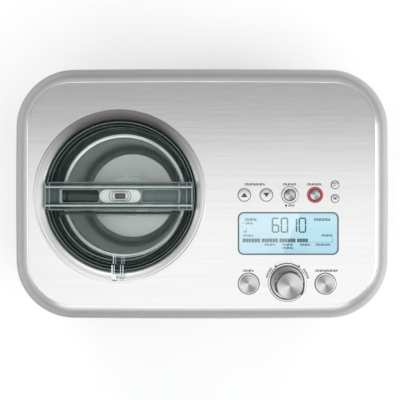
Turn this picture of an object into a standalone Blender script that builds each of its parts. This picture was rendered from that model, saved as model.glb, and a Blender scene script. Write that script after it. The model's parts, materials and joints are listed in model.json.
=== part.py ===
"""Compressor ice cream maker: casing, refrigeration, drive, bowl, lid and control panel.

Metres, +Z up. The origin is on the table under the middle of the machine. +X is the user's right,
-Y is the front, and the bowl's well is on the left. Helpers take millimetres and make metres.
"""
import math

import bmesh
import bpy
from mathutils import Matrix, Vector

MM = 0.001
GAP = 0.3                    # clearance between neighbouring pieces

# Casing
WIDTH, DEPTH = 405.0, 272.0
CORNER_R = 62.0
SIDE_BOW = 1.6               # how far each side swells past its ends
FASCIA_Z = 240.0             # the top sheet's upper face
FASCIA_HALF = (186.0, 119.5)
FASCIA_R = 47.0
BEVEL_DROP = 14.0
SHEET = 1.5                  # top cover's thickness
WRAP_HALF = (200.5, 134.2)
WRAP_WALL = 1.2
WRAP_BOTTOM = 30.0
PLINTH_HALF = (194.5, 128.2)
FOOT_H = 10.0
FOOT_R = 12.0
PAN_FLOOR = 3.0
GLAND = (60.0, 18.6)         # x and z of the cord's way in, on the plinth's rear wall
VENT_Z = (60.0, 150.0)
SIDE_VENT = (8.0, 100.0)     # middle along Y, and length
REAR_VENT = (60.0, 90.0)     # middle along X, and length

# Bowl well
WELL = (-87.7, -2.5)
COLLAR_LIP_R = 92.8
COLLAR_NECK_R = 90.0         # the part of the collar that drops through the cover's hole
COLLAR_WALL_R = 81.6
CHAMBER_LIP_Z = 194.0
BOWL_FLOOR_Z = 118.0
BOWL_RIM_Z = 203.5
BOWL_WALL = 1.6
SPINDLE_R = 5.0
HEX_R = 4.6                  # across the corners of the hexagon that turns the paddle
HUB_TOP_Z = 210.0

# Lid
LID_R = 81.0
LID_TOP_Z = 231.5
LID_SHEET = 2.5
HANDLE_TOP_Z = 246.0
HANDLE_HALF = 79.0
HINGE_Y = -18.3              # flap's hinge line, from the well's centre
HINGE_Z = 234.3
BAIL_R = 75.5
BAIL_Z = 198.8

# Drive
MODULE = 1.6
SPINDLE_TEETH, PINION_TEETH = 36, 12
GEAR_Z = (66.0, 76.0)

# Control panel: centre x, centre y, cap radius, ring radius (0 where the cap sits straight in the sheet)
BUTTONS = {
    "up_button": (45.5, -1.2, 6.6, 0.0),
    "down_button": (69.1, -1.2, 6.6, 0.0),
    "precool_button": (94.2, -1.2, 5.9, 8.65),
    "keepcool_button": (121.2, -1.2, 5.6, 8.75),
    "unit_button": (142.5, 9.6, 4.0, 0.0),
    "volume_button": (142.5, -5.1, 4.0, 0.0),
    "power_button": (50.2, -96.1, 11.0, 0.0),
    "start_button": (132.3, -96.1, 11.0, 0.0),
}
DISPLAY = (92.5, -42.5)
DISPLAY_HALF = (53.95, 22.9)
DISPLAY_R = 6.5
KNOB = (91.5, -95.0)
KNOB_TOP_Z = 267.0
BOARD_Z = 227.0

# Refrigeration
COMPRESSOR = (75.0, 35.0)
COMPRESSOR_R = 48.0
FAN = (153.0, 30.0, 90.0)
COIL_R = 74.2
COIL_TUBE_R = 3.0


# ---------------------------------------------------------------- helpers

def clear_scene():
    for obj in list(bpy.data.objects):
        bpy.data.objects.remove(obj, do_unlink=True)


def material(name, colour, roughness=0.5, metallic=0.0, alpha=1.0):
    mat = bpy.data.materials.new(name)
    mat.use_nodes = True
    shader = mat.node_tree.nodes["Principled BSDF"]
    shader.inputs["Base Color"].default_value = (*colour, 1.0)
    shader.inputs["Roughness"].default_value = roughness
    shader.inputs["Metallic"].default_value = metallic
    shader.inputs["Alpha"].default_value = alpha
    return mat


STEEL = dict(colour=(0.72, 0.72, 0.71), roughness=0.32, metallic=1.0)
CLEAR = dict(colour=(0.42, 0.52, 0.50), roughness=0.08, alpha=0.35)
DARK_PLASTIC = dict(colour=(0.05, 0.05, 0.055), roughness=0.5)
ALUMINIUM = dict(colour=(0.75, 0.77, 0.77), roughness=0.3, metallic=1.0)
COPPER = dict(colour=(0.72, 0.40, 0.26), roughness=0.3, metallic=1.0)
BLACK_STEEL = dict(colour=(0.03, 0.03, 0.032), roughness=0.35)
WHITE_PLASTIC = dict(colour=(0.80, 0.81, 0.80), roughness=0.45)
RUBBER = dict(colour=(0.03, 0.03, 0.03), roughness=0.85)
DISPLAY_GLASS = dict(colour=(0.62, 0.82, 0.90), roughness=0.1)
BOARD = dict(colour=(0.05, 0.22, 0.12), roughness=0.5)
RED = dict(colour=(0.62, 0.04, 0.07), roughness=0.35)

ORIGINS = {}                 # an empty's place in the world, in millimetres


def empty(name, at, parent=None):
    """An empty on a joint's axis, which the moving pieces hang from."""
    obj = bpy.data.objects.new(name, None)
    bpy.context.scene.collection.objects.link(obj)
    ORIGINS[obj.name] = Vector(at)
    seat(obj, at, parent)
    return obj


def seat(obj, at, parent=None):
    """Puts an object at a place in the world, whatever it hangs from."""
    offset = Vector(at)
    if parent:
        obj.parent = parent
        offset = offset - ORIGINS[parent.name]
    obj.location = offset * MM


def finish(name, bm, look, at=(0, 0, 0), parent=None, turn=None):
    """Turns a bmesh in millimetres into a named object with its own material."""
    bmesh.ops.scale(bm, vec=(MM, MM, MM), verts=bm.verts)
    if turn:
        bmesh.ops.transform(bm, matrix=turn, verts=bm.verts)
    bmesh.ops.recalc_face_normals(bm, faces=bm.faces)
    mesh = bpy.data.meshes.new(name)
    bm.to_mesh(mesh)
    bm.free()
    mesh.shade_smooth()
    mesh.set_sharp_from_angle(angle=math.radians(35))
    obj = bpy.data.objects.new(name, mesh)
    bpy.context.scene.collection.objects.link(obj)
    if look:
        mesh.materials.append(material(name, **look))
    seat(obj, at, parent)
    return obj


def tool(obj):
    """Marks an object as a Boolean's cutter or filler, which isn't a piece itself."""
    obj.hide_render = True
    obj.display_type = "WIRE"
    return obj


def boolean(target, other, operation):
    mod = target.modifiers.new(operation.lower(), "BOOLEAN")
    mod.operation = operation
    mod.object = tool(other)


def cut(target, *cutters):
    for cutter in cutters:
        boolean(target, cutter, "DIFFERENCE")


def add(target, *others):
    for other in others:
        boolean(target, other, "UNION")


def outline(half_x, half_y, radius, bow=0.0, corner_steps=6, side_steps=2):
    """A rounded rectangle with gently swelling sides, anticlockwise from the middle of its right side."""
    lean_x = 2 * bow / (half_y - radius) if bow else 0.0
    lean_y = 2 * bow / (half_x - radius) if bow else 0.0
    steps = side_steps if bow else 1
    centre_x = half_x - bow - radius * math.cos(lean_x)
    centre_y = half_y - bow - radius * math.cos(lean_y)
    side_end = centre_y + radius * math.sin(lean_x)
    top_end = centre_x + radius * math.sin(lean_y)
    quarter = [(half_x - bow * (i / steps) ** 2, side_end * i / steps) for i in range(steps)]
    for i in range(corner_steps + 1):
        angle = lean_x + (math.pi / 2 - lean_x - lean_y) * i / corner_steps
        quarter.append((centre_x + radius * math.cos(angle), centre_y + radius * math.sin(angle)))
    quarter += [(top_end * i / steps, half_y - bow * (i / steps) ** 2) for i in range(steps - 1, -1, -1)]
    left = [(-x, y) for x, y in reversed(quarter[:-1])]
    back = [(-x, -y) for x, y in quarter[1:]]
    front = [(x, -y) for x, y in reversed(quarter[1:-1])]
    points = quarter + left + back + front
    return points if bow else [p for p in points if abs(p[0]) > 1e-9 and abs(p[1]) > 1e-9]


def prism(name, points, low, high, look=None, at=(0, 0, 0), parent=None, turn=None):
    """A flat outline pulled up from low to high."""
    bm = bmesh.new()
    face = bm.faces.new([bm.verts.new((x, y, low)) for x, y in points])
    pulled = bmesh.ops.extrude_face_region(bm, geom=[face])
    top = [v for v in pulled["geom"] if isinstance(v, bmesh.types.BMVert)]
    bmesh.ops.translate(bm, vec=(0, 0, high - low), verts=top)
    return finish(name, bm, look, at, parent, turn)


def box(name, low, high, look=None, at=(0, 0, 0), parent=None):
    bm = bmesh.new()
    size = Vector(high) - Vector(low)
    middle = (Vector(high) + Vector(low)) / 2
    bmesh.ops.create_cube(bm, size=1.0, matrix=Matrix.Translation(middle) @ Matrix.Diagonal((*size, 1.0)))
    return finish(name, bm, look, at, parent)


def stacked(name, rings, look):
    """A solid whose flat end is pulled up again and again and fitted to the next (points, height)."""
    bm = bmesh.new()
    points, height = rings[0]
    end = bm.faces.new([bm.verts.new((x, y, height)) for x, y in points])
    for step, (points, height) in enumerate(rings[1:]):
        pulled = bmesh.ops.extrude_face_region(bm, geom=[end])
        if step:
            bmesh.ops.delete(bm, geom=[end], context="FACES_ONLY")
        end = next(item for item in pulled["geom"] if isinstance(item, bmesh.types.BMFace))
        for vert, (x, y) in zip(end.verts, points):
            vert.co = (x, y, height)
    return finish(name, bm, look)


def turned(name, profile, look=None, at=(0, 0, 0), steps=32, parent=None, turn=None):
    """A closed outline of (radius, height) points, spun round the vertical axis."""
    bm = bmesh.new()
    verts = [bm.verts.new((r, 0, z)) for r, z in profile]
    edges = []
    for i in range(len(verts)):
        a, b = verts[i - 1], verts[i]
        if a.co.x > 1e-6 or b.co.x > 1e-6:
            edges.append(bm.edges.new((a, b)))
    bmesh.ops.spin(bm, geom=edges, cent=(0, 0, 0), axis=(0, 0, 1), angle=2 * math.pi, steps=steps,
                   use_merge=True)
    bmesh.ops.remove_doubles(bm, verts=bm.verts, dist=1e-4)
    return finish(name, bm, look, at, parent, turn)


def cylinder(name, radius, low, high, look=None, at=(0, 0, 0), steps=24, parent=None, turn=None):
    profile = [(0, low), (radius, low), (radius, high), (0, high)]
    return turned(name, profile, look, at, steps, parent, turn)


def tube(name, points, radius, look, sides=2):
    """A round pipe along a hand-picked route, smoothed by a Catmull-Rom curve."""
    route = []
    spans = list(zip([points[0]] + points[:-2], points[:-1], points[1:], points[2:] + [points[-1]]))
    for before, start, end, after in spans:
        p0, p1, p2, p3 = (Vector(p) for p in (before, start, end, after))
        for i in range(4):
            t = i / 4
            route.append(0.5 * (2 * p1 + (p2 - p0) * t + (2 * p0 - 5 * p1 + 4 * p2 - p3) * t * t
                                + (3 * p1 - p0 - 3 * p2 + p3) * t ** 3))
    route.append(Vector(points[-1]))
    return piped(name, route, radius, look, sides)


def piped(name, route, radius, look, sides=2):
    curve = bpy.data.curves.new(name, "CURVE")
    curve.dimensions = "3D"
    spline = curve.splines.new("POLY")
    spline.points.add(len(route) - 1)
    for point, place in zip(spline.points, route):
        point.co = (*(Vector(place) * MM), 1.0)
    curve.bevel_depth = radius * MM
    curve.bevel_resolution = sides
    curve.use_fill_caps = True
    curve.materials.append(material(name, **look))
    obj = bpy.data.objects.new(name, curve)
    bpy.context.scene.collection.objects.link(obj)
    return obj


def well(z=0.0):
    return (WELL[0], WELL[1], z)


# ---------------------------------------------------------------- casing

def make_base():
    half_x, half_y = PLINTH_HALF
    radius = CORNER_R - 8.0

    def ring(grow, height):
        return (outline(half_x + grow, half_y + grow, radius + grow, SIDE_BOW), height)

    floor = FOOT_H + GAP
    ledge = WRAP_BOTTOM - GAP
    pan = stacked("base_pan", [
        ring(0, floor), ring(0, ledge - 3.2), ring(5.7, ledge - 3.2), ring(5.7, ledge), ring(3.0, ledge),
        ring(3.0, 44.0), ring(-2.5, 44.0), ring(-2.5, floor + PAN_FLOOR)], DARK_PLASTIC)
    gland_at = (GLAND[0], half_y - 0.2, GLAND[1])
    gland_hole = cylinder("gland_hole", 4.9, -8, 8, at=gland_at, steps=16,
                          turn=Matrix.Rotation(math.pi / 2, 4, "X"))
    cut(pan, gland_hole)
    for side, x in (("left", -160.0), ("right", 160.0)):
        for end, y in (("front", -98.0), ("rear", 98.0)):
            foot = [(0, 0), (FOOT_R - 1.5, 0), (FOOT_R, 1.5), (FOOT_R - 1.0, FOOT_H), (0, FOOT_H)]
            turned(f"foot_{end}_{side}", foot, RUBBER, (x, y, 0), 16)
    # The gland stays inside the casing's outline: its flange stands on the plinth's rear wall.
    gland = [(3.3, -9.0), (4.5, -9.0), (4.5, 0.4), (6.6, 0.4), (6.6, 2.0), (5.4, 5.0), (3.3, 5.0)]
    turned("cord_gland", gland, RUBBER, gland_at, 16, turn=Matrix.Rotation(-math.pi / 2, 4, "X"))


def make_grille(name, width, low, high, at, turn=None):
    """A louvred plate: its flange lies behind the wrap, its face fills the wrap's opening."""
    bm = bmesh.new()
    flange = bmesh.ops.create_cube(bm, size=1.0, matrix=Matrix.Translation((-1.2, 0, (low + high) / 2))
                                   @ Matrix.Diagonal((2.0, width + 8.0, high - low + 8.0, 1.0)))["verts"]
    face = [f for f in bm.faces if f.calc_center_median().x > -0.5]
    bmesh.ops.inset_region(bm, faces=face, thickness=4.0 + GAP, depth=0, use_even_offset=True)
    pulled = bmesh.ops.extrude_face_region(bm, geom=face)
    front = [v for v in pulled["geom"] if isinstance(v, bmesh.types.BMVert)]
    bmesh.ops.translate(bm, vec=(1.6, 0, 0), verts=front)
    bmesh.ops.delete(bm, geom=face, context="FACES_ONLY")
    grille = finish(name, bm, DARK_PLASTIC, at, turn=turn)
    slots = bmesh.new()
    count = int((high - low - 6) // 7)
    pitch = (high - low - 4) / count
    for i in range(count):
        z = low + 2 + pitch * (i + 0.5)
        bmesh.ops.create_cube(slots, size=1.0, matrix=Matrix.Translation((0, 0, z))
                              @ Matrix.Diagonal((8.0, width - 10.0, 3.0, 1.0)))
    cut(grille, finish(name + "_slots", slots, None, at, turn=turn))
    return grille


def make_wrap():
    half_x, half_y = WRAP_HALF
    radius = CORNER_R - 2.0
    high = FASCIA_Z - BEVEL_DROP - 2.6
    outer = outline(half_x, half_y, radius, SIDE_BOW)
    inner = outline(half_x - WRAP_WALL, half_y - WRAP_WALL, radius - WRAP_WALL, SIDE_BOW)
    wrap = prism("outer_wrap", outer, WRAP_BOTTOM, high, STEEL)
    cut(wrap, prism("wrap_inside", inner, WRAP_BOTTOM - 5, high + 5))
    low, top = VENT_Z
    side_y, side_long = SIDE_VENT
    rear_x, rear_long = REAR_VENT
    cut(wrap, box("side_vent_opening", (-10, -side_long / 2, low), (10, side_long / 2, top),
                  at=(half_x, side_y, 0)))
    cut(wrap, box("rear_vent_opening", (-rear_long / 2, -10, low), (rear_long / 2, 10, top),
                  at=(rear_x, half_y, 0)))
    make_grille("vent_grille_side", side_long, low, top, (half_x - 2.75, side_y, 0))
    make_grille("vent_grille_rear", rear_long, low, top, (rear_x, half_y - 2.45, 0),
                Matrix.Rotation(math.pi / 2, 4, "Z"))


def make_top_cover():
    half_x, half_y = WIDTH / 2, DEPTH / 2
    edge = FASCIA_Z - BEVEL_DROP
    rings = [
        (outline(*FASCIA_HALF, FASCIA_R, SIDE_BOW), FASCIA_Z),
        (outline(half_x - 1.6, half_y - 1.6, CORNER_R - 1.6, SIDE_BOW), edge + 1.8),
        (outline(half_x, half_y, CORNER_R, SIDE_BOW), edge - 0.6),
        (outline(half_x, half_y, CORNER_R, SIDE_BOW), edge - 4.5),
        (outline(half_x - SHEET, half_y - SHEET, CORNER_R - SHEET, SIDE_BOW), edge - 4.5),
        (outline(half_x - SHEET, half_y - SHEET, CORNER_R - SHEET, SIDE_BOW), edge - 1.4),
        (outline(FASCIA_HALF[0], FASCIA_HALF[1], FASCIA_R, SIDE_BOW), FASCIA_Z - SHEET - 0.4),
    ]
    cover = stacked("top_cover", rings, STEEL)
    cut(cover, cylinder("well_hole", COLLAR_NECK_R + 0.6, 230, 250, at=well(), steps=40))
    cut(cover, prism("display_hole", outline(*DISPLAY_HALF, DISPLAY_R, corner_steps=4), 230, 250,
                     at=(*DISPLAY, 0)))
    cut(cover, cylinder("dial_hole", 18.5, 230, 250, at=(*KNOB, 0)))
    for name, (x, y, cap, ring) in BUTTONS.items():
        hole = ring - 1.2 if ring else cap + 0.4
        cut(cover, cylinder(name + "_hole", hole, 230, 250, at=(x, y, 0), steps=16))


# ---------------------------------------------------------------- well, bowl and drive

def make_well():
    wall, lip, neck = COLLAR_WALL_R, COLLAR_LIP_R, COLLAR_NECK_R
    collar = [
        (lip, FASCIA_Z + GAP), (lip - 0.5, FASCIA_Z + 0.8), (neck + 0.2, FASCIA_Z + 0.9),
        (neck - 2.4, FASCIA_Z - 0.8), (84.6, FASCIA_Z - 4.6), (wall, FASCIA_Z - 11.0),
        (wall, CHAMBER_LIP_Z + GAP), (wall + 1.2, CHAMBER_LIP_Z + GAP), (wall + 1.2, FASCIA_Z - 11.4),
        (85.8, FASCIA_Z - 5.4), (neck - 1.6, FASCIA_Z - 1.9), (neck, FASCIA_Z - 1.2), (neck, FASCIA_Z + GAP)]
    turned("well_collar", collar, STEEL, well(), 40)

    floor = BOWL_FLOOR_Z - BOWL_WALL - GAP
    chamber = [
        (9.0, floor), (48.0, floor), (58.5, floor + 3.6), (64.4, floor + 14.0),
        (67.4, CHAMBER_LIP_Z), (wall - 0.6, CHAMBER_LIP_Z), (wall - 0.6, CHAMBER_LIP_Z - 1.5),
        (68.9, CHAMBER_LIP_Z - 1.5), (65.9, floor + 13.6), (59.4, floor + 2.4), (48.0, floor - 1.5),
        (9.0, floor - 1.5)]
    turned("chamber", chamber, ALUMINIUM, well(), 32)
    bore = SPINDLE_R + 0.35
    seal = [(bore, floor - 2.5), (8.6, floor - 2.5), (8.6, floor + 0.2), (bore, floor + 0.2)]
    turned("spindle_seal", seal, RUBBER, well(), 16)

    jacket = [(10.0, 86.0), (98.0, 86.0), (98.0, CHAMBER_LIP_Z - 1.8), (79.5, CHAMBER_LIP_Z - 1.8),
              (79.5, 113.0), (10.0, 113.0)]
    foam = turned("insulation_jacket", jacket, WHITE_PLASTIC, well(), 24)
    cut(foam, box("pipe_slot", (60, -14, 116), (110, 14, 200), at=well()))


def make_bowl(parent):
    z = BOWL_FLOOR_Z
    rim = BOWL_RIM_Z
    bowl = [
        (5.6, z - BOWL_WALL), (47.0, z - BOWL_WALL), (57.6, z + 1.6), (63.2, z + 12.5),
        (66.6, rim - 2.2), (72.4, rim - 2.0), (72.8, rim - 0.4), (67.2, rim),
        (65.0, rim - 2.0), (61.6, z + 12.5), (56.6, z + 3.0), (47.0, z),
        (8.0, z), (8.0, 150.0), (5.6, 150.0)]
    pot = turned("bowl", bowl, ALUMINIUM, well(), 32, parent)
    for side in (-1, 1):
        stud = cylinder(f"bail_stud_{side}", 1.8, 65.9, 77.4, None, well(BAIL_Z), 10, parent,
                        turn=Matrix.Rotation(side * math.pi / 2, 4, "Y"))
        add(pot, stud)


def make_bail(parent):
    """A half ring that lies round the rear of the rim, with an eye on each of the bowl's studs."""
    start = 2.8 / BAIL_R         # the rod stops inside the eye's wall, short of the stud
    bm = bmesh.new()
    stand = (Matrix.Rotation(start, 4, "Z") @ Matrix.Translation((BAIL_R, 0, 0))
             @ Matrix.Rotation(math.pi / 2, 4, "X"))
    bmesh.ops.create_circle(bm, segments=6, radius=1.7, matrix=stand)
    bmesh.ops.spin(bm, geom=list(bm.edges), cent=(0, 0, 0), axis=(0, 0, 1), angle=math.pi - 2 * start,
                   steps=16)
    bmesh.ops.holes_fill(bm, edges=[e for e in bm.edges if e.is_boundary])
    bail = finish("bowl_bail", bm, ALUMINIUM, well(BAIL_Z), parent)
    eye = [(2.1, BAIL_R - 1.2), (3.6, BAIL_R - 1.2), (3.6, BAIL_R + 1.2), (2.1, BAIL_R + 1.2)]
    for side in (-1, 1):
        lay = Matrix.Rotation(side * math.pi / 2, 4, "Y")
        add(bail, turned(f"bail_eye_{side}", eye, None, well(BAIL_Z), 12, parent, lay))


def make_paddle(parent):
    z = BOWL_FLOOR_Z + 2.0
    hub = [(0, 152.5), (8.7, 152.5), (8.7, z), (17.0, z), (15.0, z + 14), (11.5, z + 34), (12.5, 186.0),
           (19.5, HUB_TOP_Z - 6), (21.5, HUB_TOP_Z - 3), (20.5, HUB_TOP_Z), (0, HUB_TOP_Z)]
    paddle = turned("paddle", hub, WHITE_PLASTIC, well(), 20, parent)
    # Each blade is an arm low in the bowl, a scraper along the wall and an arm above the mix.
    blade = [(9.8, z + 0.2), (46.0, z + 0.2), (53.6, z + 3.2), (58.2, z + 9.0), (59.6, z + 15.0),
             (62.2, 186.0), (60.0, 190.0), (11.0, 190.0), (11.0, 182.0), (51.0, 182.0), (55.0, 178.0),
             (52.2, z + 20.0), (46.0, z + 13.0), (9.8, z + 10.0)]
    upright = Matrix.Rotation(math.pi / 2, 4, "X")
    for side in (0, 1):
        swing = Matrix.Rotation(side * math.pi, 4, "Z") @ upright
        add(paddle, prism(f"paddle_blade_{side}", blade, -1.6, 1.6, None, well(), parent, swing))
    cut(paddle, cylinder("paddle_socket", HEX_R + 0.4, 150, 187.0, None, well(), 6, parent))


def gear_outline(teeth):
    """Straight-sided teeth: tip and root circles a module either side of the pitch circle."""
    pitch_r = MODULE * teeth / 2
    tip, root = pitch_r + 0.85 * MODULE, pitch_r - 1.15 * MODULE
    step = 2 * math.pi / teeth
    points = []
    for i in range(teeth):
        for share, radius in ((-0.32, root), (-0.13, tip), (0.13, tip), (0.32, root)):
            angle = (i + share) * step
            points.append((radius * math.cos(angle), radius * math.sin(angle)))
    return points


def make_drive(spindle_parent, pinion_parent):
    gear = prism("spindle_gear", gear_outline(SPINDLE_TEETH), *GEAR_Z, WHITE_PLASTIC, well(), spindle_parent)
    cut(gear, cylinder("spindle_gear_bore", SPINDLE_R + GAP, 60, 80, None, well(), 16, spindle_parent))
    spindle = cylinder("drive_spindle", SPINDLE_R, 61.0, 150.0, STEEL, well(), 16, spindle_parent)
    add(spindle, cylinder("spindle_hexagon", HEX_R, 149.0, 186.0, None, well(), 6, spindle_parent))

    reach = MODULE * (SPINDLE_TEETH + PINION_TEETH) / 2
    shaft_at = (WELL[0] + reach, WELL[1], 0)
    # Half a tooth of turn puts the pinion's gap on the gear's tooth.
    mesh_turn = Matrix.Rotation(math.pi + math.pi / PINION_TEETH, 4, "Z")
    pinion = prism("motor_pinion", gear_outline(PINION_TEETH), *GEAR_Z, STEEL, shaft_at, pinion_parent,
                   mesh_turn)
    add(pinion, cylinder("pinion_shaft", 2.5, 56.5, 78.0, None, shaft_at, 12, pinion_parent))

    motor = [(0, 15.0), (22.0, 15.0), (25.0, 18.0), (25.0, 50.0), (12.0, 50.0), (12.0, 56.0), (0, 56.0)]
    turned("gear_motor", motor, BLACK_STEEL, shaft_at, 24)
    tray = outline(47.0, 36.0, 18.0, corner_steps=4)
    pocket = outline(44.5, 33.5, 15.5, corner_steps=4)
    tray_at = (WELL[0] + reach / 3, WELL[1], 0)
    housing = prism("gearbox_housing", tray, 58.0, 80.0, DARK_PLASTIC, tray_at)
    cut(housing, prism("gearbox_pocket", pocket, 60.5, 90.0, at=tray_at))
    cut(housing, cylinder("gearbox_shaft_hole", 6.0, 50, 65, at=shaft_at, steps=16))
    lid = prism("gearbox_cover", tray, 80.3, 83.0, DARK_PLASTIC, tray_at)
    cut(lid, cylinder("gearbox_spindle_hole", 8.5, 78, 90, at=well(), steps=16))
    bush = [(SPINDLE_R + 0.3, 78.5), (8.2, 78.5), (8.2, 85.0), (SPINDLE_R + 0.3, 85.0)]
    turned("spindle_bush", bush, WHITE_PLASTIC, well(), 16)


# ---------------------------------------------------------------- lid

def make_lid(parent):
    top, under = LID_TOP_Z, LID_TOP_Z - LID_SHEET
    disc = [(0, top), (76.2, top), (77.6, top + 2.4), (79.8, top + 3.0), (LID_R, top + 2.0),
            (LID_R, under - 1.0), (79.0, under - 1.0), (77.6, under), (74.5, under), (74.5, 207.2),
            (72.5, 207.2), (72.5, under), (0, under)]
    lid = turned("lid_disc", disc, CLEAR, well(), 36, parent)
    cut(lid, box("handle_seat", (-90, -15.9, top + 0.15), (90, 15.9, 250), at=well(), parent=parent))
    opening = half_moon(65.5, HINGE_Y - 4.2)
    cut(lid, prism("mix_in_opening", opening, under - 5, top + 5, None, well(), parent))
    for side in (-1, 1):
        x = side * 62.6
        boss = box(f"flap_boss_{side}", (x - 1.7, HINGE_Y - 2.4, top - 1.0),
                   (x + 1.7, HINGE_Y + 2.3, top + 5.2), at=well(), parent=parent)
        add(lid, boss)
    along_x = Matrix.Rotation(math.pi / 2, 4, "Y")
    hinge_at = well(0)
    pin_at = (hinge_at[0], hinge_at[1] + HINGE_Y, HINGE_Z)
    cut(lid, cylinder("flap_pin_bore", 1.5, -66, 66, None, pin_at, 12, parent, along_x))
    cylinder("flap_hinge_pin", 1.2, -64.4, 64.4, STEEL, pin_at, 12, parent, along_x)

    base = top + GAP
    right = [(15.5, base), (15.5, base + 1.5), (12.4, base + 2.0), (11.7, HANDLE_TOP_Z - 0.6),
             (11.0, HANDLE_TOP_Z), (8.4, HANDLE_TOP_Z), (7.7, HANDLE_TOP_Z - 0.6), (7.5, base + 2.0)]
    section = right + [(-y, z) for y, z in reversed(right)]
    lay = Matrix.Rotation(math.pi / 2, 4, "Z") @ Matrix.Rotation(math.pi / 2, 4, "X")
    prism("lid_handle", section, -HANDLE_HALF, HANDLE_HALF, CLEAR, well(), parent, lay)

    floor = base + 2.0 + GAP
    for side, name in ((-1, "handle_end_left"), (1, "handle_end_right")):
        low_x, high_x = sorted((side * 65.5, side * (HANDLE_HALF - 0.6)))
        block = box(name, (low_x, -7.1, floor), (high_x, 7.1, HANDLE_TOP_Z - 2.0), CLEAR, well(), parent)
        bevel = block.modifiers.new("bevel", "BEVEL")
        bevel.width = 0.8 * MM
        bevel.segments = 1
    plate = prism("handle_plate", outline(22.0, 7.1, 7.0, corner_steps=5), floor, floor + 2.8, WHITE_PLASTIC,
                  well(), parent)
    slot = outline(6.0, 3.4, 1.5, corner_steps=2)
    cut(plate, prism("plate_slot", slot, floor + 1.6, floor + 9, None, well(), parent))
    gasket = [(69.0, BOWL_RIM_Z + GAP), (74.4, BOWL_RIM_Z + GAP), (74.4, 206.9), (70.5, 206.9)]
    turned("lid_gasket", gasket, RUBBER, well(), 32, parent)


def half_moon(radius, chord_y, steps=18):
    """The part of a circle in front of a chord, anticlockwise."""
    half_angle = math.acos(-chord_y / radius)
    start = -math.pi / 2 - half_angle
    angles = [start + 2 * half_angle * i / steps for i in range(steps + 1)]
    return [(radius * math.cos(angle), radius * math.sin(angle)) for angle in angles]


def make_flap(parent):
    low = LID_TOP_Z + GAP
    hinge_at = (WELL[0], WELL[1] + HINGE_Y, HINGE_Z)
    along_x = Matrix.Rotation(math.pi / 2, 4, "Y")
    flap = prism("lid_flap", half_moon(70.0, HINGE_Y - 3.8), low, low + 2.0, CLEAR, well(), parent)
    leaf = box("flap_leaf", (-60, HINGE_Y - 5, low), (60, HINGE_Y - 0.5, low + 2.0), at=well(), parent=parent)
    add(flap, leaf)
    add(flap, cylinder("flap_barrel", 2.4, -60.0, 60.0, None, hinge_at, 12, parent, along_x))
    # The tab climbs over the lid's rim and ends above the collar.
    over = FASCIA_Z + 1.8
    tab = [(-64.0, low + 0.4), (-73.2, low + 0.4), (-75.2, low + 5.6), (-91.5, over), (-92.4, over + 1.0),
           (-91.6, over + 2.4), (-73.0, over + 2.4), (-70.6, over + 0.8), (-68.6, low + 2.6),
           (-64.0, low + 1.8)]
    upright = Matrix.Rotation(math.pi / 2, 4, "Z") @ Matrix.Rotation(math.pi / 2, 4, "X")
    tab_x = WELL[0] - 1.8
    add(flap, prism("flap_tab", tab, -6.4, 6.4, None, (tab_x, WELL[1], 0), parent, upright))
    cut(flap, cylinder("flap_bore", 1.5, -70, 70, None, hinge_at, 12, parent, along_x))


# ---------------------------------------------------------------- refrigeration

def make_evaporator():
    turns, per_turn = 4, 14
    low, high = 126.0, 186.0
    route = [(86.0, 0.0, low), (81.0, 0.0, low), (77.0, 0.06, low)]
    for i in range(1, turns * per_turn):
        route.append((COIL_R, 2 * math.pi * i / per_turn, low + (high - low) * i / (turns * per_turn)))
    route += [(77.0, -0.06, high), (81.0, 0.0, high), (86.0, 0.0, high)]
    x0, y0 = WELL
    points = [(x0 + r * math.cos(a), y0 + r * math.sin(a), z) for r, a, z in route]
    piped("evaporator_coil", points, COIL_TUBE_R, COPPER, 1)


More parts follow.
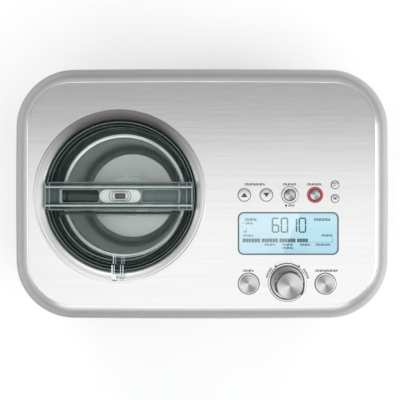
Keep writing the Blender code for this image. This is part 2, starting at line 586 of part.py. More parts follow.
def make_refrigeration():
    make_evaporator()
    x, y = COMPRESSOR
    r = COMPRESSOR_R
    shell = [(0, 30.0), (r * 0.6, 30.0), (r * 0.93, 40.0), (r, 52.0), (r, 84.0), (r + 2.0, 84.0),
             (r + 2.0, 88.0), (r, 88.0), (r, 118.0), (r * 0.85, 136.0), (r * 0.5, 145.0), (0, 148.0)]
    turned("compressor", shell, BLACK_STEEL, (x, y, 0), 24)
    bracket = prism("compressor_bracket", outline(52.0, 46.0, 12.0, corner_steps=2), 26.8, 29.6, BLACK_STEEL,
                    (x, y, 0))
    for dx, dy in ((-42.0, -36.0), (42.0, -36.0), (0.0, 38.0)):
        add(bracket, cylinder("bracket_leg", 8.0, 13.7, 28.0, None, (x + dx, y + dy, 0), 12))

    back, valley, tip = 167.0, 173.0, 184.5
    fins = [(back, -35.0)]
    count, pitch = 14, 9.0
    for i in range(count):
        start = -35.0 + pitch * i
        fins += [(tip, start), (tip, start + 2.5)]
        if i < count - 1:
            fins += [(valley, start + 2.5), (valley, start + pitch)]
    fins.append((back, -35.0 + pitch * (count - 1) + 2.5))
    prism("condenser", fins, 14.0, 160.0, ALUMINIUM)

    fx, fy, fz = FAN
    shroud = box("fan_shroud", (-10.0, -52.0, -52.0), (10.0, 52.0, 52.0), DARK_PLASTIC, (fx, fy, fz))
    along_x = Matrix.Rotation(math.pi / 2, 4, "Y")
    cut(shroud, cylinder("shroud_bore", 47.0, -7.0, 20.0, None, (fx, fy, fz), 32, turn=along_x))
    ports = bmesh.new()
    for i in range(4):
        spin = Matrix.Rotation(math.pi / 2 * i + math.pi / 4, 4, "X")
        bmesh.ops.create_cube(ports, size=1.0, matrix=spin @ Matrix.Translation((-8, 0, 31))
                              @ Matrix.Diagonal((9.0, 34.0, 20.0, 1.0)))
    cut(shroud, finish("shroud_ports", ports, None, (fx, fy, fz)))
    cylinder("fan_motor", 15.0, -26.0, -10.4, BLACK_STEEL, (fx, fy, fz), 20, turn=along_x)

    suction = [(-1.2, WELL[1], 186.0), (10.0, WELL[1], 186.0), (17.0, 8.0, 180.0), (18.0, 28.0, 160.0),
               (16.0, 36.0, 135.0), (18.0, 36.0, 116.0), (26.4, 35.4, 112.0)]
    tube("suction_line", suction, 3.0, COPPER, 1)
    discharge = [(75.0, 84.0, 120.0), (80.0, 100.0, 132.0), (100.0, 108.0, 160.0), (130.0, 106.0, 172.0),
                 (158.0, 92.0, 172.0), (169.6, 80.0, 169.0), (170.0, 78.0, 160.4)]
    tube("discharge_line", discharge, 2.2, COPPER, 1)
    liquid = [(-1.2, WELL[1], 126.0), (8.0, WELL[1], 126.0), (14.0, -14.0, 122.0), (22.0, -34.0, 128.0),
              (48.0, -32.0, 146.0), (66.0, -30.0, 150.0), (79.7, -30.0, 150.0)]
    tube("liquid_line", liquid, 2.2, COPPER, 1)
    drier = [(0, 0), (2.6, 0), (8.0, 6.0), (8.0, 50.0), (2.6, 56.0), (2.6, 86.6), (0, 86.6)]
    turned("filter_drier", drier, COPPER, (80.0, -30.0, 150.0), 16, turn=along_x)


def make_fan_rotor(parent):
    along_x = Matrix.Rotation(math.pi / 2, 4, "Y")
    rotor = cylinder("fan_rotor", 16.0, -5.0, 6.0, WHITE_PLASTIC, FAN, 24, parent, along_x)
    blades = bmesh.new()
    for i in range(5):
        place = (Matrix.Rotation(2 * math.pi * i / 5, 4, "X") @ Matrix.Translation((0.5, 0, 28.5))
                 @ Matrix.Rotation(math.radians(55), 4, "Z") @ Matrix.Diagonal((1.6, 13.0, 29.0, 1.0)))
        bmesh.ops.create_cube(blades, size=1.0, matrix=place)
    add(rotor, finish("fan_blades", blades, None, FAN, parent))


# ---------------------------------------------------------------- controls

def make_display():
    x, y = DISPLAY
    half_x, half_y = DISPLAY_HALF
    pane = outline(half_x - GAP, half_y - GAP, DISPLAY_R - GAP, corner_steps=4)
    prism("display_window", pane, FASCIA_Z - 2.4, FASCIA_Z - 0.1, DISPLAY_GLASS, (x, y, 0))
    module = outline(51.0, 21.5, 3.0, corner_steps=2)
    prism("display_module", module, 229.2, FASCIA_Z - 2.8, DARK_PLASTIC, (x, y, 0))
    controls = outline(62.5, 66.0, 4.0, corner_steps=2)
    prism("control_board", controls, BOARD_Z, BOARD_Z + 1.6, BOARD, (93.0, -48.0, 0))
    power = outline(55.0, 30.0, 3.0, corner_steps=2)
    prism("power_board", power, 24.0, 25.6, BOARD, (85.0, -88.0, 0))


def make_rings():
    for name, (x, y, cap, ring) in BUTTONS.items():
        if not ring:
            continue
        look = RED if name == "keepcool_button" else STEEL
        inner = cap + 0.35
        profile = [(inner, FASCIA_Z - 2.0), (ring - 1.5, FASCIA_Z - 2.0), (ring - 1.5, FASCIA_Z + GAP),
                   (ring, FASCIA_Z + GAP), (ring - 0.3, FASCIA_Z + 0.9), (inner + 0.4, FASCIA_Z + 0.9),
                   (inner, FASCIA_Z + 0.5)]
        turned(name.replace("button", "ring"), profile, look, (x, y, 0), 20)


def make_buttons(frames):
    for name, (x, y, cap, ring) in BUTTONS.items():
        top = FASCIA_Z + (1.3 if ring else 0.9)
        look = dict(STEEL, roughness=0.25)
        profile = [(0, top), (cap - 0.4, top), (cap, top - 0.4), (cap, FASCIA_Z - 4.0), (2.4, FASCIA_Z - 4.0),
                   (2.4, 231.0), (0, 231.0)]
        turned(name, profile, look, (x, y, 0), 14, frames[name])


def make_knob(parent):
    x, y = KNOB
    dish = [(20.1, FASCIA_Z + GAP), (19.8, FASCIA_Z + 1.0), (18.6, FASCIA_Z + 1.2), (17.0, FASCIA_Z - 0.8),
            (3.8, FASCIA_Z - 1.0), (3.8, FASCIA_Z - 2.6), (18.1, FASCIA_Z - 2.6), (18.1, FASCIA_Z + GAP)]
    turned("dial_dish", dish, STEEL, (x, y, 0), 24)
    bottom = FASCIA_Z - 0.3
    knob = [(0, KNOB_TOP_Z), (13.2, KNOB_TOP_Z), (14.0, KNOB_TOP_Z - 0.8), (15.4, bottom + 3.0),
            (15.4, bottom), (3.4, bottom), (3.4, 256.0), (0, 256.0)]
    turned("control_knob", knob, dict(STEEL, roughness=0.22), (x, y, 0), 24, parent)
    encoder = [(0, 229.0), (7.5, 229.0), (7.5, 236.0), (3.0, 236.0), (3.0, 255.4), (0, 255.4)]
    turned("knob_encoder", encoder, DARK_PLASTIC, (x, y, 0), 16)


# ---------------------------------------------------------------- assembly

def build():
    clear_scene()
    bowl = empty("bowl_axis", well(BOWL_FLOOR_Z))
    lid = empty("lid_axis", well(LID_TOP_Z), bowl)
    flap = empty("flap_axis", (WELL[0], WELL[1] + HINGE_Y, HINGE_Z), lid)
    bail = empty("bail_axis", well(BAIL_Z), bowl)
    paddle = empty("paddle_axis", well(BOWL_FLOOR_Z), bowl)
    spindle = empty("spindle_axis", well(0))
    pinion = empty("pinion_axis", (WELL[0] + MODULE * (SPINDLE_TEETH + PINION_TEETH) / 2, WELL[1], 0))
    fan = empty("fan_axis", FAN)
    knob = empty("knob_axis", (*KNOB, FASCIA_Z))
    buttons = {name: empty(name + "_axis", (spec[0], spec[1], FASCIA_Z)) for name, spec in BUTTONS.items()}

    make_base()
    make_wrap()
    make_top_cover()
    make_well()
    make_bowl(bowl)
    make_bail(bail)
    make_paddle(paddle)
    make_drive(spindle, pinion)
    make_lid(lid)
    make_flap(flap)
    make_refrigeration()
    make_fan_rotor(fan)
    make_display()
    make_rings()
    make_buttons(buttons)
    make_knob(knob)


build()
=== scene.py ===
# %% [markdown]
# # A compressor ice cream maker, finished inside and out
# The working model is already packed: every moving piece has its body, its hinge or its slide. This
# notebook dresses that frame. Each shell, button and ring is modelled again with finer curves in the
# same place as its plain solid, and each gets a finish that is worked out by shader nodes.

# %% Load the frame
import json
import math

import bmesh
import bpy
from mathutils import Matrix, Vector


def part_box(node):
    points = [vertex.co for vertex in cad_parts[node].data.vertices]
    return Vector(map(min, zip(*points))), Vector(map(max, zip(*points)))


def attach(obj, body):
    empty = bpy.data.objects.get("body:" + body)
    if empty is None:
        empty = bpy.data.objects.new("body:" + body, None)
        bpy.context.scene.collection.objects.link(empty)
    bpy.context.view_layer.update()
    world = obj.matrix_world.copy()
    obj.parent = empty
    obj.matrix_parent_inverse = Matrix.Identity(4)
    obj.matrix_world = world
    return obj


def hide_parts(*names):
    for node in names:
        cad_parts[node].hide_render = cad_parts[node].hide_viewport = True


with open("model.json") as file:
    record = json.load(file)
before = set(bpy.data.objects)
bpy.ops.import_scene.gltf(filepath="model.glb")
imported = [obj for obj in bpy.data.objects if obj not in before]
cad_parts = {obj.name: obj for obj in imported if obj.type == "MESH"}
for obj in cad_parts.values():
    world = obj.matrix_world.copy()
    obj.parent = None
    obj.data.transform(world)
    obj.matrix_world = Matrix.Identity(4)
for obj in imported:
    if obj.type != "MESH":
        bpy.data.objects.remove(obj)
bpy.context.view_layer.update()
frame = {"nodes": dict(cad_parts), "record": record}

# %% [markdown]
# ## Sizes that drive everything
# A maker starts from a few datum lines: the table, the top sheet, the axis of the bowl's well and the
# axis of the dial. They could be typed in again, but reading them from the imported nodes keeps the
# finish on the frame if the frame ever changes. Shapes are drawn in millimetres and made metres last.

# %% Datum lines from the frame
MM = 0.001
FULL_TURN = 2 * math.pi


def middle(node):
    low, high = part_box(node)
    return (low + high) / 2 / MM


def lowest(node):
    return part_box(node)[0] / MM


def highest(node):
    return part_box(node)[1] / MM


WELL = tuple(middle("bowl"))[:2]
DIAL = tuple(middle("control_knob"))[:2]
DISPLAY = tuple(middle("display_window"))[:2]
FASCIA = highest("top_cover").z
COVER_HALF = highest("top_cover").xy
COVER_EDGE = lowest("top_cover").z
LID_R = (highest("lid_disc").x - lowest("lid_disc").x) / 2
COLLAR_R = (highest("well_collar").x - lowest("well_collar").x) / 2
RIM = highest("bowl").z
CHAMBER_LIP = highest("chamber").z
BUTTONS = {name: middle(name) for name in frame["nodes"] if name.endswith("_button")}
SWELL = 1.6          # how far the casing's sides bow out between the corners
print("well axis", WELL, "fascia", round(FASCIA, 1), "buttons", sorted(BUTTONS))

# %% [markdown]
# ## Camera, floor and lamps
# The camera looks straight down on the control panel, and a small lens shift frames the machine.
# Brushed steel is best lit by one big soft panel over the front: steel shows what stands over it, so
# the panel's edge becomes the slow shade from the rear of the top to the front. Panels at the sides
# and the rear keep the walls from going black. The floor is a plain pale sweep.

# %% Camera, floor and lamps
EYE_ABOVE = 750.0    # from the fascia up to the camera
EYE = Vector((14.2, 0.8, FASCIA + EYE_ABOVE)) * MM


def make_camera():
    data = bpy.data.cameras.new("overhead_camera")
    data.lens = 63.14
    data.sensor_width = 36.0
    data.shift_x = -0.0375
    data.shift_y = -0.0175
    data.clip_end = 50.0
    camera = bpy.data.objects.new("overhead_camera", data)
    camera.location = EYE
    bpy.context.scene.collection.objects.link(camera)
    bpy.context.scene.camera = camera


def make_lamp(name, size, place, aim, power):
    """A soft rectangular panel, size in metres, aimed at a point."""
    data = bpy.data.lights.new(name, "AREA")
    data.shape = "RECTANGLE"
    data.size, data.size_y = size
    data.energy = power
    lamp = bpy.data.objects.new(name, data)
    lamp.location = place
    lamp.rotation_euler = (Vector(aim) - Vector(place)).to_track_quat("-Z", "Y").to_euler()
    lamp.visible_camera = False
    bpy.context.scene.collection.objects.link(lamp)


def make_room(level):
    world = bpy.data.worlds.new("studio")
    world.use_nodes = True
    world.node_tree.nodes["Background"].inputs["Color"].default_value = (*level, 1.0)
    bpy.context.scene.world = world
    bpy.context.scene.view_settings.view_transform = "Standard"


make_camera()
make_room((0.46, 0.465, 0.47))
make_lamp("front_panel", (3.0, 2.4), (0.42, -1.0, 2.24), (0.42, -1.0, 0.0), 25.0)
make_lamp("right_panel", (1.8, 1.4), (2.1, -0.4, 1.3), (0.0, 0.0, 0.1), 20.0)
make_lamp("left_panel", (1.6, 1.4), (-2.3, -0.3, 1.5), (0.0, 0.0, 0.1), 14.0)
make_lamp("low_front_panel", (3.0, 0.9), (0.0, -2.5, 1.0), (0.0, 0.0, 0.2), 7.0)
make_lamp("rear_panel", (2.8, 1.2), (0.0, 2.1, 2.3), (0.0, 0.2, 0.0), 27.0)
print("lamps:", sorted(lamp.name for lamp in bpy.data.lights))

# %% [markdown]
# ## A small language for shaders
# Shader nodes are sums in disguise. Wiring each Math node by hand hides the sum, so one small class
# stands for a socket and turns + - * / into nodes, and a second one holds the material and makes any
# other node from its type, its settings and what goes into its sockets.

# %% Shader helpers


class Wire:
    """A socket in a sum. Each operator adds one Math node."""

    def __init__(self, look, socket):
        self.look = look
        self.socket = socket

    def maths(self, operation, *others):
        return self.look.node("Math", {"operation": operation}, dict(enumerate((self, *others))))

    def clamped(self):
        """Kept between 0 and 1."""
        return self.maths("MAXIMUM", 0.0).maths("MINIMUM", 1.0)

    def __add__(self, other):
        return self.maths("ADD", other)

    def __sub__(self, other):
        return self.maths("SUBTRACT", other)

    def __rsub__(self, other):
        return self.maths("MULTIPLY", -1.0).maths("ADD", other)

    def __mul__(self, other):
        return self.maths("MULTIPLY", other)

    def __truediv__(self, other):
        return self.maths("DIVIDE", other)

    def __pow__(self, other):
        return self.maths("POWER", other)

    def __lt__(self, other):
        return self.maths("LESS_THAN", other)


class Look:
    """A material while it is being wired round its Principled shader."""

    def __init__(self, name, constants=None):
        self.material = bpy.data.materials.new(name)
        self.material.use_nodes = True
        self.tree = self.material.node_tree
        self.shader = self.tree.nodes["Principled BSDF"]
        self.feed(self.shader, constants or {})

    def feed(self, node, sockets):
        for name, value in sockets.items():
            socket = node.inputs[name]
            if isinstance(value, Wire):
                self.tree.links.new(value.socket, socket)
            elif isinstance(value, tuple) and len(value) == 3 and socket.type == "RGBA":
                socket.default_value = (*value, 1.0)
            else:
                socket.default_value = value

    def node(self, kind, settings=None, sockets=None, out=0):
        made = self.tree.nodes.new("ShaderNode" + kind)
        for name, value in (settings or {}).items():
            if name == "stops":
                self.set_stops(made.color_ramp, value)
            else:
                setattr(made, name, value)
        self.feed(made, sockets or {})
        return Wire(self, made.outputs[out])

    def set_stops(self, band, stops):
        while len(band.elements) < len(stops):
            band.elements.new(1.0)
        for element, (place, colour) in zip(band.elements, stops):
            element.position = place
            element.color = (*colour, 1.0)

    def place(self, scale=(1.0, 1.0, 1.0), at=(0.0, 0.0, 0.0)):
        """Object coordinates in metres, moved and then scaled."""
        where = self.node("TexCoord", out="Object")
        sockets = {"Vector": where, "Location": at, "Scale": scale}
        return self.node("Mapping", {"vector_type": "POINT"}, sockets)

    def from_axis(self):
        """The place measured from the piece's own upright axis, in millimetres, as x, y, z wires."""
        return self.split(self.node("Attribute", {"attribute_name": "from_axis"}, out="Vector"))

    def split(self, vector):
        parts = self.node("SeparateXYZ", {}, {0: vector}).socket.node
        return [Wire(self, socket) for socket in parts.outputs]

    def join(self, x, y, z):
        return self.node("CombineXYZ", {}, {0: x, 1: y, 2: z})

    def noise(self, vector, scale=1.0, detail=2.0, rough=0.5):
        sockets = {"Vector": vector, "Scale": scale, "Detail": detail, "Roughness": rough}
        return self.node("TexNoise", {}, sockets)

    def ramp(self, factor, *stops):
        return self.node("ValToRGB", {"stops": stops}, {0: factor})

    def mix(self, factor, first, second):
        return self.node("Mix", {"data_type": "RGBA"}, {0: factor, 6: first, 7: second}, out=2)

    def bump(self, height, distance, strength=0.5):
        return self.node("Bump", {}, {"Height": height, "Distance": distance, "Strength": strength})

    def wear(self, **sockets):
        """Links the finished sums to the shader: base, roughness, metallic, glow, normal."""
        names = {"base": "Base Color", "roughness": "Roughness", "metallic": "Metallic", "normal": "Normal",
                 "glow": "Emission Color"}
        self.feed(self.shader, {names[key]: value for key, value in sockets.items()})
        return self.material


def grey(level, tint=(1.0, 1.0, 1.0)):
    return tuple(level * part for part in tint)


FINISHES = {}

# %% [markdown]
# ## Brushed steel
# The casing is stainless sheet drawn under an abrasive belt, which leaves hair-fine lines all one way.
# They could be a picture, but a noise stretched along the belt's way gives the same lines at any size:
# fine ones a third of a millimetre wide, and slow bands where the belt pressed harder. On the cover a
# painted highlight lies along the bend under the fascia and along its edge, and painted shade darkens
# the band below it outwards, more on the left side.

# %% Brushed steel


def brushed_steel(name, grain, level, rough, tint=(1.0, 1.0, 0.995), crown=None):
    """Hair-fine lines along the axis whose grain is lowest. A crown is the height of the fascia; with it the
    band below gets painted highlights and painted shade.
    """
    look = Look(name, {"Metallic": 1.0})
    lines = look.noise(look.place(grain), 1.0, 3.0, 0.6)
    bands = look.noise(look.place(tuple(g * 0.12 for g in grain)), 1.0, 2.0)
    shade = lines * 0.65 + bands * 0.35
    base = look.ramp(shade, (0.30, grey(level * 0.93, tint)), (0.50, grey(level, tint)),
                     (0.70, grey(level * 1.05, tint)))
    if crown:
        x, y, z = look.split(look.place())
        fall = z * (-1.0 / MM) + crown
        # painted highlight on the bend under the fascia, and painted shade that grows outwards, stronger on
        # the left
        painted_highlight_band = ((5.2 - fall) / 3.4).clamped() * 0.8 * ((fall - 0.3) * 8.0).clamped()
        painted_shade_left_weight = (x * (-2.2) + 0.62).clamped()
        painted_shade_band = ((fall - 1.2) / 11.0).clamped() ** 1.4 * 0.50 * painted_shade_left_weight
        # a thin painted highlight along the fascia's edge
        edge = ((fall - 0.12) * 8.0).clamped() * ((1.6 - fall) * 0.9).clamped()
        base = look.mix(painted_highlight_band, base, grey(0.93, tint))
        base = look.mix(painted_shade_band, base, grey(level * 0.25, tint))
        base = look.mix(edge, base, grey(0.96, tint))
    roughness = lines * 0.12 + (rough - 0.06)
    return look.wear(base=base, roughness=roughness, normal=look.bump(lines, 0.00002, 0.35))


FINISHES["brushed_fascia"] = brushed_steel("brushed_fascia", (26.0, 2300.0, 2300.0), 0.61, 0.25, crown=FASCIA)
FINISHES["brushed_wrap"] = brushed_steel("brushed_wrap", (14.0, 14.0, 1800.0), 0.58, 0.36)

# %% [markdown]
# ## Spun metal
# The collar, the dial's dish, the button caps and the bowl are turned on a lathe or pressed while
# spinning, so their lines run in rings. Rings need the distance from each piece's own axis. Every
# piece here carries that place as an attribute, so one pattern serves them all. A painted highlight in
# opposite wedges, from the sweep of the angle, stands for the light that a turned cap catches. Painted
# shade makes the collar browner and darker round its rear, and painted shade darkens the bowl's wall
# near its foot, where no light gets down to it.

# %% Spun metal


def spun_metal(name, level, rough, sweep=0.0, lean=0.6, tint=(1.0, 1.0, 1.0), rear_shade=0.0,
               painted_foot_shade=None):
    """Ring-shaped lines. Sweep is the strength of the painted highlight wedges, and lean the angle that they
    start from.
    """
    look = Look(name, {"Metallic": 1.0})
    x, y, z = look.from_axis()
    radius = (x * x + y * y) ** 0.5
    rings = look.noise(look.join(x * 0.03, y * 0.03, radius * 2.6 + z * 2.6), 1.0, 3.0, 0.6)
    angle = y.maths("ARCTAN2", x)
    # a painted highlight in opposite wedges, and a weaker one in thirds
    wedges = (angle * 2.0 - 2.0 * lean).maths("COSINE")
    thirds = (angle * 3.0 + 1.1).maths("COSINE")
    shade = (rings - 0.5) * 0.55 + wedges * (0.5 * sweep) + thirds * (0.14 * sweep) + 0.5
    base = look.ramp(shade, (0.05, grey(level * (0.86 - 0.45 * sweep), tint)), (0.5, grey(level, tint)),
                     (0.95, grey(min(level * (1.1 + 0.35 * sweep), 0.98), tint)))
    if rear_shade:
        # painted shade: darker and browner round the rear, most towards the lid, and a painted shade line at
        # the lip's bend
        inwards = ((93.0 - radius) / 10.0).clamped()
        behind = (y / radius + 0.12).clamped() ** 1.1
        rear = (behind * (inwards * 0.30 + 0.78)).clamped() * rear_shade
        hairline = (1.0 - (radius - HAIRLINE_R).maths("ABSOLUTE") * 2.2).clamped()
        base = look.mix(rear, base, (0.055, 0.050, 0.047))
        base = look.mix(hairline * 0.4, base, grey(level * 0.35))
    if painted_foot_shade:
        reach, height = painted_foot_shade
        # painted shade: darker low on the wall, outside the floor
        foot = ((radius - reach) * 1.5).clamped() * ((height - z) / 9.0).clamped()
        base = look.mix(foot * 0.8, base, grey(level * 0.18, tint))
    roughness = rings * 0.14 + (rough - 0.07)
    return look.wear(base=base, roughness=roughness, normal=look.bump(rings, 0.00002, 0.4))


# radius of the painted shade line on the collar
HAIRLINE_R = 90.2    # the fine line where the collar's lip turns down
FLOOR_R = 51.0       # the flat floor of the bowl
BOWL_TINT = (0.97, 1.0, 0.995)
BOWL_LEAN = 2.36
FINISHES["spun_collar"] = spun_metal("spun_collar", 0.74, 0.30)
# the collar with painted shade round its rear
COLLAR_LOOK = spun_metal("collar_painted_shade", 0.66, 0.36, rear_shade=0.96)
# button caps and knob: painted highlight wedges
FINISHES["spun_button"] = spun_metal("spun_button", 0.37, 0.27, sweep=0.8)
FINISHES["bowl_aluminium"] = spun_metal("bowl_aluminium", 0.93, 0.42, tint=BOWL_TINT)
# the drawn bowl: painted highlight wedges and painted shade near its foot
BOWL_LOOK = spun_metal("drawn_bowl_painted_light", 0.92, 0.42, 0.34, BOWL_LEAN, BOWL_TINT,
                       painted_foot_shade=(FLOOR_R - 0.1, lowest("bowl").z + 14.0))
# the rolled rim: painted highlight wedges
RIM_LOOK = spun_metal("bowl_rim_painted_highlight", 0.90, 0.42, 0.40, BOWL_LEAN)
# the knob's skirt: a darker metal that stands for painted shade
KNOB_SKIRT_SHADE = spun_metal("knob_skirt", 0.36, 0.24)
CAP_RIM = spun_metal("cap_rim", 0.60, 0.30)
BOWL_FLOOR = brushed_steel("bowl_floor_brushing", (60.0, 900.0, 60.0), 0.50, 0.32)
print("metals:", sorted(FINISHES))

# %% [markdown]
# ## Moulded plastics, rubber and paint
# A moulded part has a fine spark-eroded grain and slow shade differences from the tool. Rubber is
# duller with a chalky bloom. Each is a noise at two sizes: one tints the colour, the other lifts the
# surface by a few hundredths of a millimetre.

# %% Moulded plastics, rubber and paint


def moulded(name, dark, light, rough, grain=900.0, lift=0.00004, metallic=0.0, coat=0.0):
    look = Look(name, {"Metallic": metallic, "Coat Weight": coat})
    where = look.place()
    slow = look.noise(where, 28.0, 3.0)
    fine = look.noise(where, grain, 2.0, 0.6)
    base = look.ramp(slow * 0.7 + fine * 0.3, (0.32, dark), (0.68, light))
    roughness = fine * 0.16 + (rough - 0.08)
    return look.wear(base=base, roughness=roughness, normal=look.bump(fine, lift, 0.4))


PLAIN_FINISHES = {
    "dark_plastic": ((0.020, 0.021, 0.023), (0.034, 0.035, 0.038), 0.50),
    "rubber": ((0.016, 0.017, 0.017), (0.034, 0.034, 0.033), 0.82, 600.0, 0.00006),
    "white_plastic": ((0.72, 0.73, 0.72), (0.80, 0.81, 0.80), 0.42),
    "grey_plastic": ((0.66, 0.70, 0.69), (0.78, 0.81, 0.80), 0.38),
    "foam": ((0.66, 0.60, 0.44), (0.80, 0.75, 0.60), 0.88, 420.0, 0.0004),
    "black_steel": ((0.012, 0.012, 0.013), (0.024, 0.024, 0.026), 0.32, 500.0, 0.00005, 0.0, 0.35),
    "copper": ((0.56, 0.26, 0.15), (0.76, 0.40, 0.25), 0.30, 300.0, 0.00003, 1.0),
    "fin_aluminium": ((0.60, 0.61, 0.61), (0.74, 0.75, 0.75), 0.34, 700.0, 0.00003, 1.0),
    "shaft_steel": ((0.46, 0.47, 0.48), (0.60, 0.61, 0.62), 0.24, 900.0, 0.00002, 1.0),
    "red_ring": ((0.30, 0.018, 0.026), (0.44, 0.035, 0.045), 0.30, 700.0, 0.00002, 0.0, 0.5)}
for finish_name, values in PLAIN_FINISHES.items():
    FINISHES[finish_name] = moulded(finish_name, *values)
TRIM = moulded("chamber_dark_ring", (0.022, 0.032, 0.031), (0.040, 0.052, 0.050), 0.6, lift=0.000008)
SEAL = moulded("smoke_seal", (0.024, 0.038, 0.036), (0.042, 0.062, 0.059), 0.42)
INK = moulded("print_ink", (0.022, 0.022, 0.024), (0.045, 0.045, 0.047), 0.55)
OUTLINE = moulded("dark_outline", (0.060, 0.060, 0.064), (0.115, 0.115, 0.120), 0.45)
DARK_PIN = moulded("dark_pin", (0.02, 0.025, 0.025), (0.035, 0.04, 0.04), 0.35)
FRAME_LOOK = moulded("display_frame_plastic", (0.075, 0.105, 0.13), (0.11, 0.145, 0.17), 0.35)


def circuit_board():
    look = Look("circuit_board", {"Coat Weight": 0.3})
    where = look.place((1.0, 1.0, 0.02))
    cells = look.node("TexVoronoi", {"distance": "MANHATTAN"}, {"Vector": where, "Scale": 260.0})
    tracks = (cells < 0.22) * 1.0
    base = look.mix(tracks, (0.022, 0.115, 0.055), (0.070, 0.235, 0.110))
    return look.wear(base=base, roughness=0.46 - tracks * 0.14, normal=look.bump(tracks, 0.00004, 0.4))


FINISHES["circuit_board"] = circuit_board()
print("plastics and paints:", sorted(PLAIN_FINISHES))

# %% [markdown]
# ## Smoky clear plastic
# The lid is moulded in a clear plastic with a grey-green smoke in it. True glass would bend every ray
# and darken the bowl unless it got thousands of samples, so this finish splits the light instead: most
# goes straight through, tinted, and a share that grows towards the edges meets a dark glossy surface.
# Where a bend would gather light or close it out, a thin strip of a paler or darker mix paints that
# highlight or that shade.

# %% Smoky clear plastic


def smoky_plastic(name, through, body, face_share, edge_share):
    look = Look(name, {"Roughness": 0.07, "Base Color": body, "IOR": 1.49, "Coat Weight": 0.4,
                       "Coat Roughness": 0.03})
    edge = look.node("LayerWeight", {}, {"Blend": 0.5}, out="Facing")
    flow = look.noise(look.place(), 34.0, 2.0)
    share = edge ** 1.6 * edge_share + flow * 0.05 + face_share
    clear = look.node("BsdfTransparent", {}, {"Color": through})
    gloss = Wire(look, look.shader.outputs[0])
    both = look.node("MixShader", {}, {0: share, 1: clear, 2: gloss})
    look.tree.links.new(both.socket, look.tree.nodes["Material Output"].inputs["Surface"])
    look.wear(roughness=flow * 0.05 + 0.05)
    return look.material


FINISHES["clear_lid"] = smoky_plastic("clear_lid", (0.965, 0.985, 0.98), (0.060, 0.085, 0.081), 0.0, 0.80)
CLEAR_GRIP = smoky_plastic("clear_grip", (0.90, 0.935, 0.93), (0.25, 0.31, 0.30), 0.14, 0.70)
# materials for painted light in the clear plastic: paler mixes paint highlights, darker mixes paint shade
SMOKE = (0.80, 0.86, 0.85)
EDGE_LINE = smoky_plastic("edge_line", SMOKE, (0.22, 0.29, 0.28), 0.50, 0.30)
SOFT_EDGE = smoky_plastic("soft_edge", SMOKE, (0.30, 0.38, 0.37), 0.56, 0.30)
LIT_EDGE = smoky_plastic("lit_edge", SMOKE, (0.52, 0.62, 0.60), 0.66, 0.30)
# the channel's right floor: a painted reflection
PAINTED_REFLECTION_CHANNEL = smoky_plastic("channel_painted_reflection", SMOKE, (0.17, 0.22, 0.21), 0.50, 0.35)
PLATE_LINE = smoky_plastic("plate_line", (0.55, 0.6, 0.6), (0.10, 0.12, 0.12), 0.75, 0.2)
TAB_GLINT = smoky_plastic("tab_glint", (0.9, 0.95, 0.94), (0.85, 0.93, 0.92), 0.80, 0.2)
DARK_EDGE = smoky_plastic("dark_edge", (0.20, 0.25, 0.24), (0.008, 0.012, 0.012), 0.90, 0.10)
# the channel's left floor: painted shade
CHANNEL = smoky_plastic("channel_painted_shade", (0.42, 0.48, 0.47), (0.022, 0.034, 0.031), 0.55, 0.35)
print("materials so far:", len(bpy.data.materials))

# %% [markdown]
# ## The display
# A liquid-crystal panel is lit from behind by an even blue-white sheet. A slanted reflection is painted
# across the glass: left of it the panel is painted paler and its print greyer, and both grow paler
# towards the top. Both colours come from one test of which side of the slanting line a point is on, so
# the panel and its print always agree. The glow takes the same painted colours.

# %% Display finishes
# the ends of the slanting line where the painted reflection starts
SLANT_TOP = Vector(DISPLAY) + Vector((13.2, 21.9))
SLANT_FOOT = Vector(DISPLAY) + Vector((-6.2, -22.5))


def display_finish(name, left, right, glow, rough):
    """Left and right are the lower and upper colours on the two sides of the slanting line of the painted
    reflection.
    """
    look = Look(name, {"Emission Strength": glow})
    x, y, z = look.split(look.place())
    slope = (SLANT_TOP.x - SLANT_FOOT.x) / (SLANT_TOP.y - SLANT_FOOT.y)
    # which side of the painted reflection's slanting line a point is on, and a fade paler towards the top
    side = (x / MM - SLANT_FOOT.x - (y / MM - SLANT_FOOT.y) * slope) * 0.9 + 0.5
    fade = ((y / MM - SLANT_FOOT.y) / 45.0).clamped()
    soft = look.noise(look.place(), 60.0, 2.0)
    lift = fade * 0.6 + soft * 0.4
    base = look.mix(side.clamped(), look.mix(lift, *left), look.mix(lift, *right))
    return look.wear(base=base, glow=base, roughness=soft * 0.08 + (rough - 0.04))


# panel and print colours inside (left) and outside (right) the painted reflection
PANEL_LEFT = ((0.36, 0.53, 0.61), (0.53, 0.67, 0.73))
PANEL_RIGHT = ((0.27, 0.47, 0.57), (0.40, 0.59, 0.66))
PRINT_LEFT = ((0.17, 0.20, 0.20), (0.20, 0.24, 0.24))
PRINT_RIGHT = ((0.035, 0.07, 0.075), (0.05, 0.09, 0.095))
FINISHES["display_glass"] = display_finish("display_glass", PANEL_LEFT, PANEL_RIGHT, 0.18, 0.16)
SEGMENTS_LOOK = display_finish("display_segments", PRINT_LEFT, PRINT_RIGHT, 0.03, 0.4)
print("slant from", [round(v, 1) for v in SLANT_FOOT], "to", [round(v, 1) for v in SLANT_TOP])

# %% [markdown]
# ## Making and placing a piece
# Every new piece goes through one function. It closes the mesh, turns its faces outwards, notes each
# point's place from the piece's own axis, moves the points to where the piece belongs and hangs it on
# its body. The object itself stays at the origin, as the frame's own nodes do.

# %% Piece helper
MERGE = 0.0005    # points closer than this, in millimetres, are one point


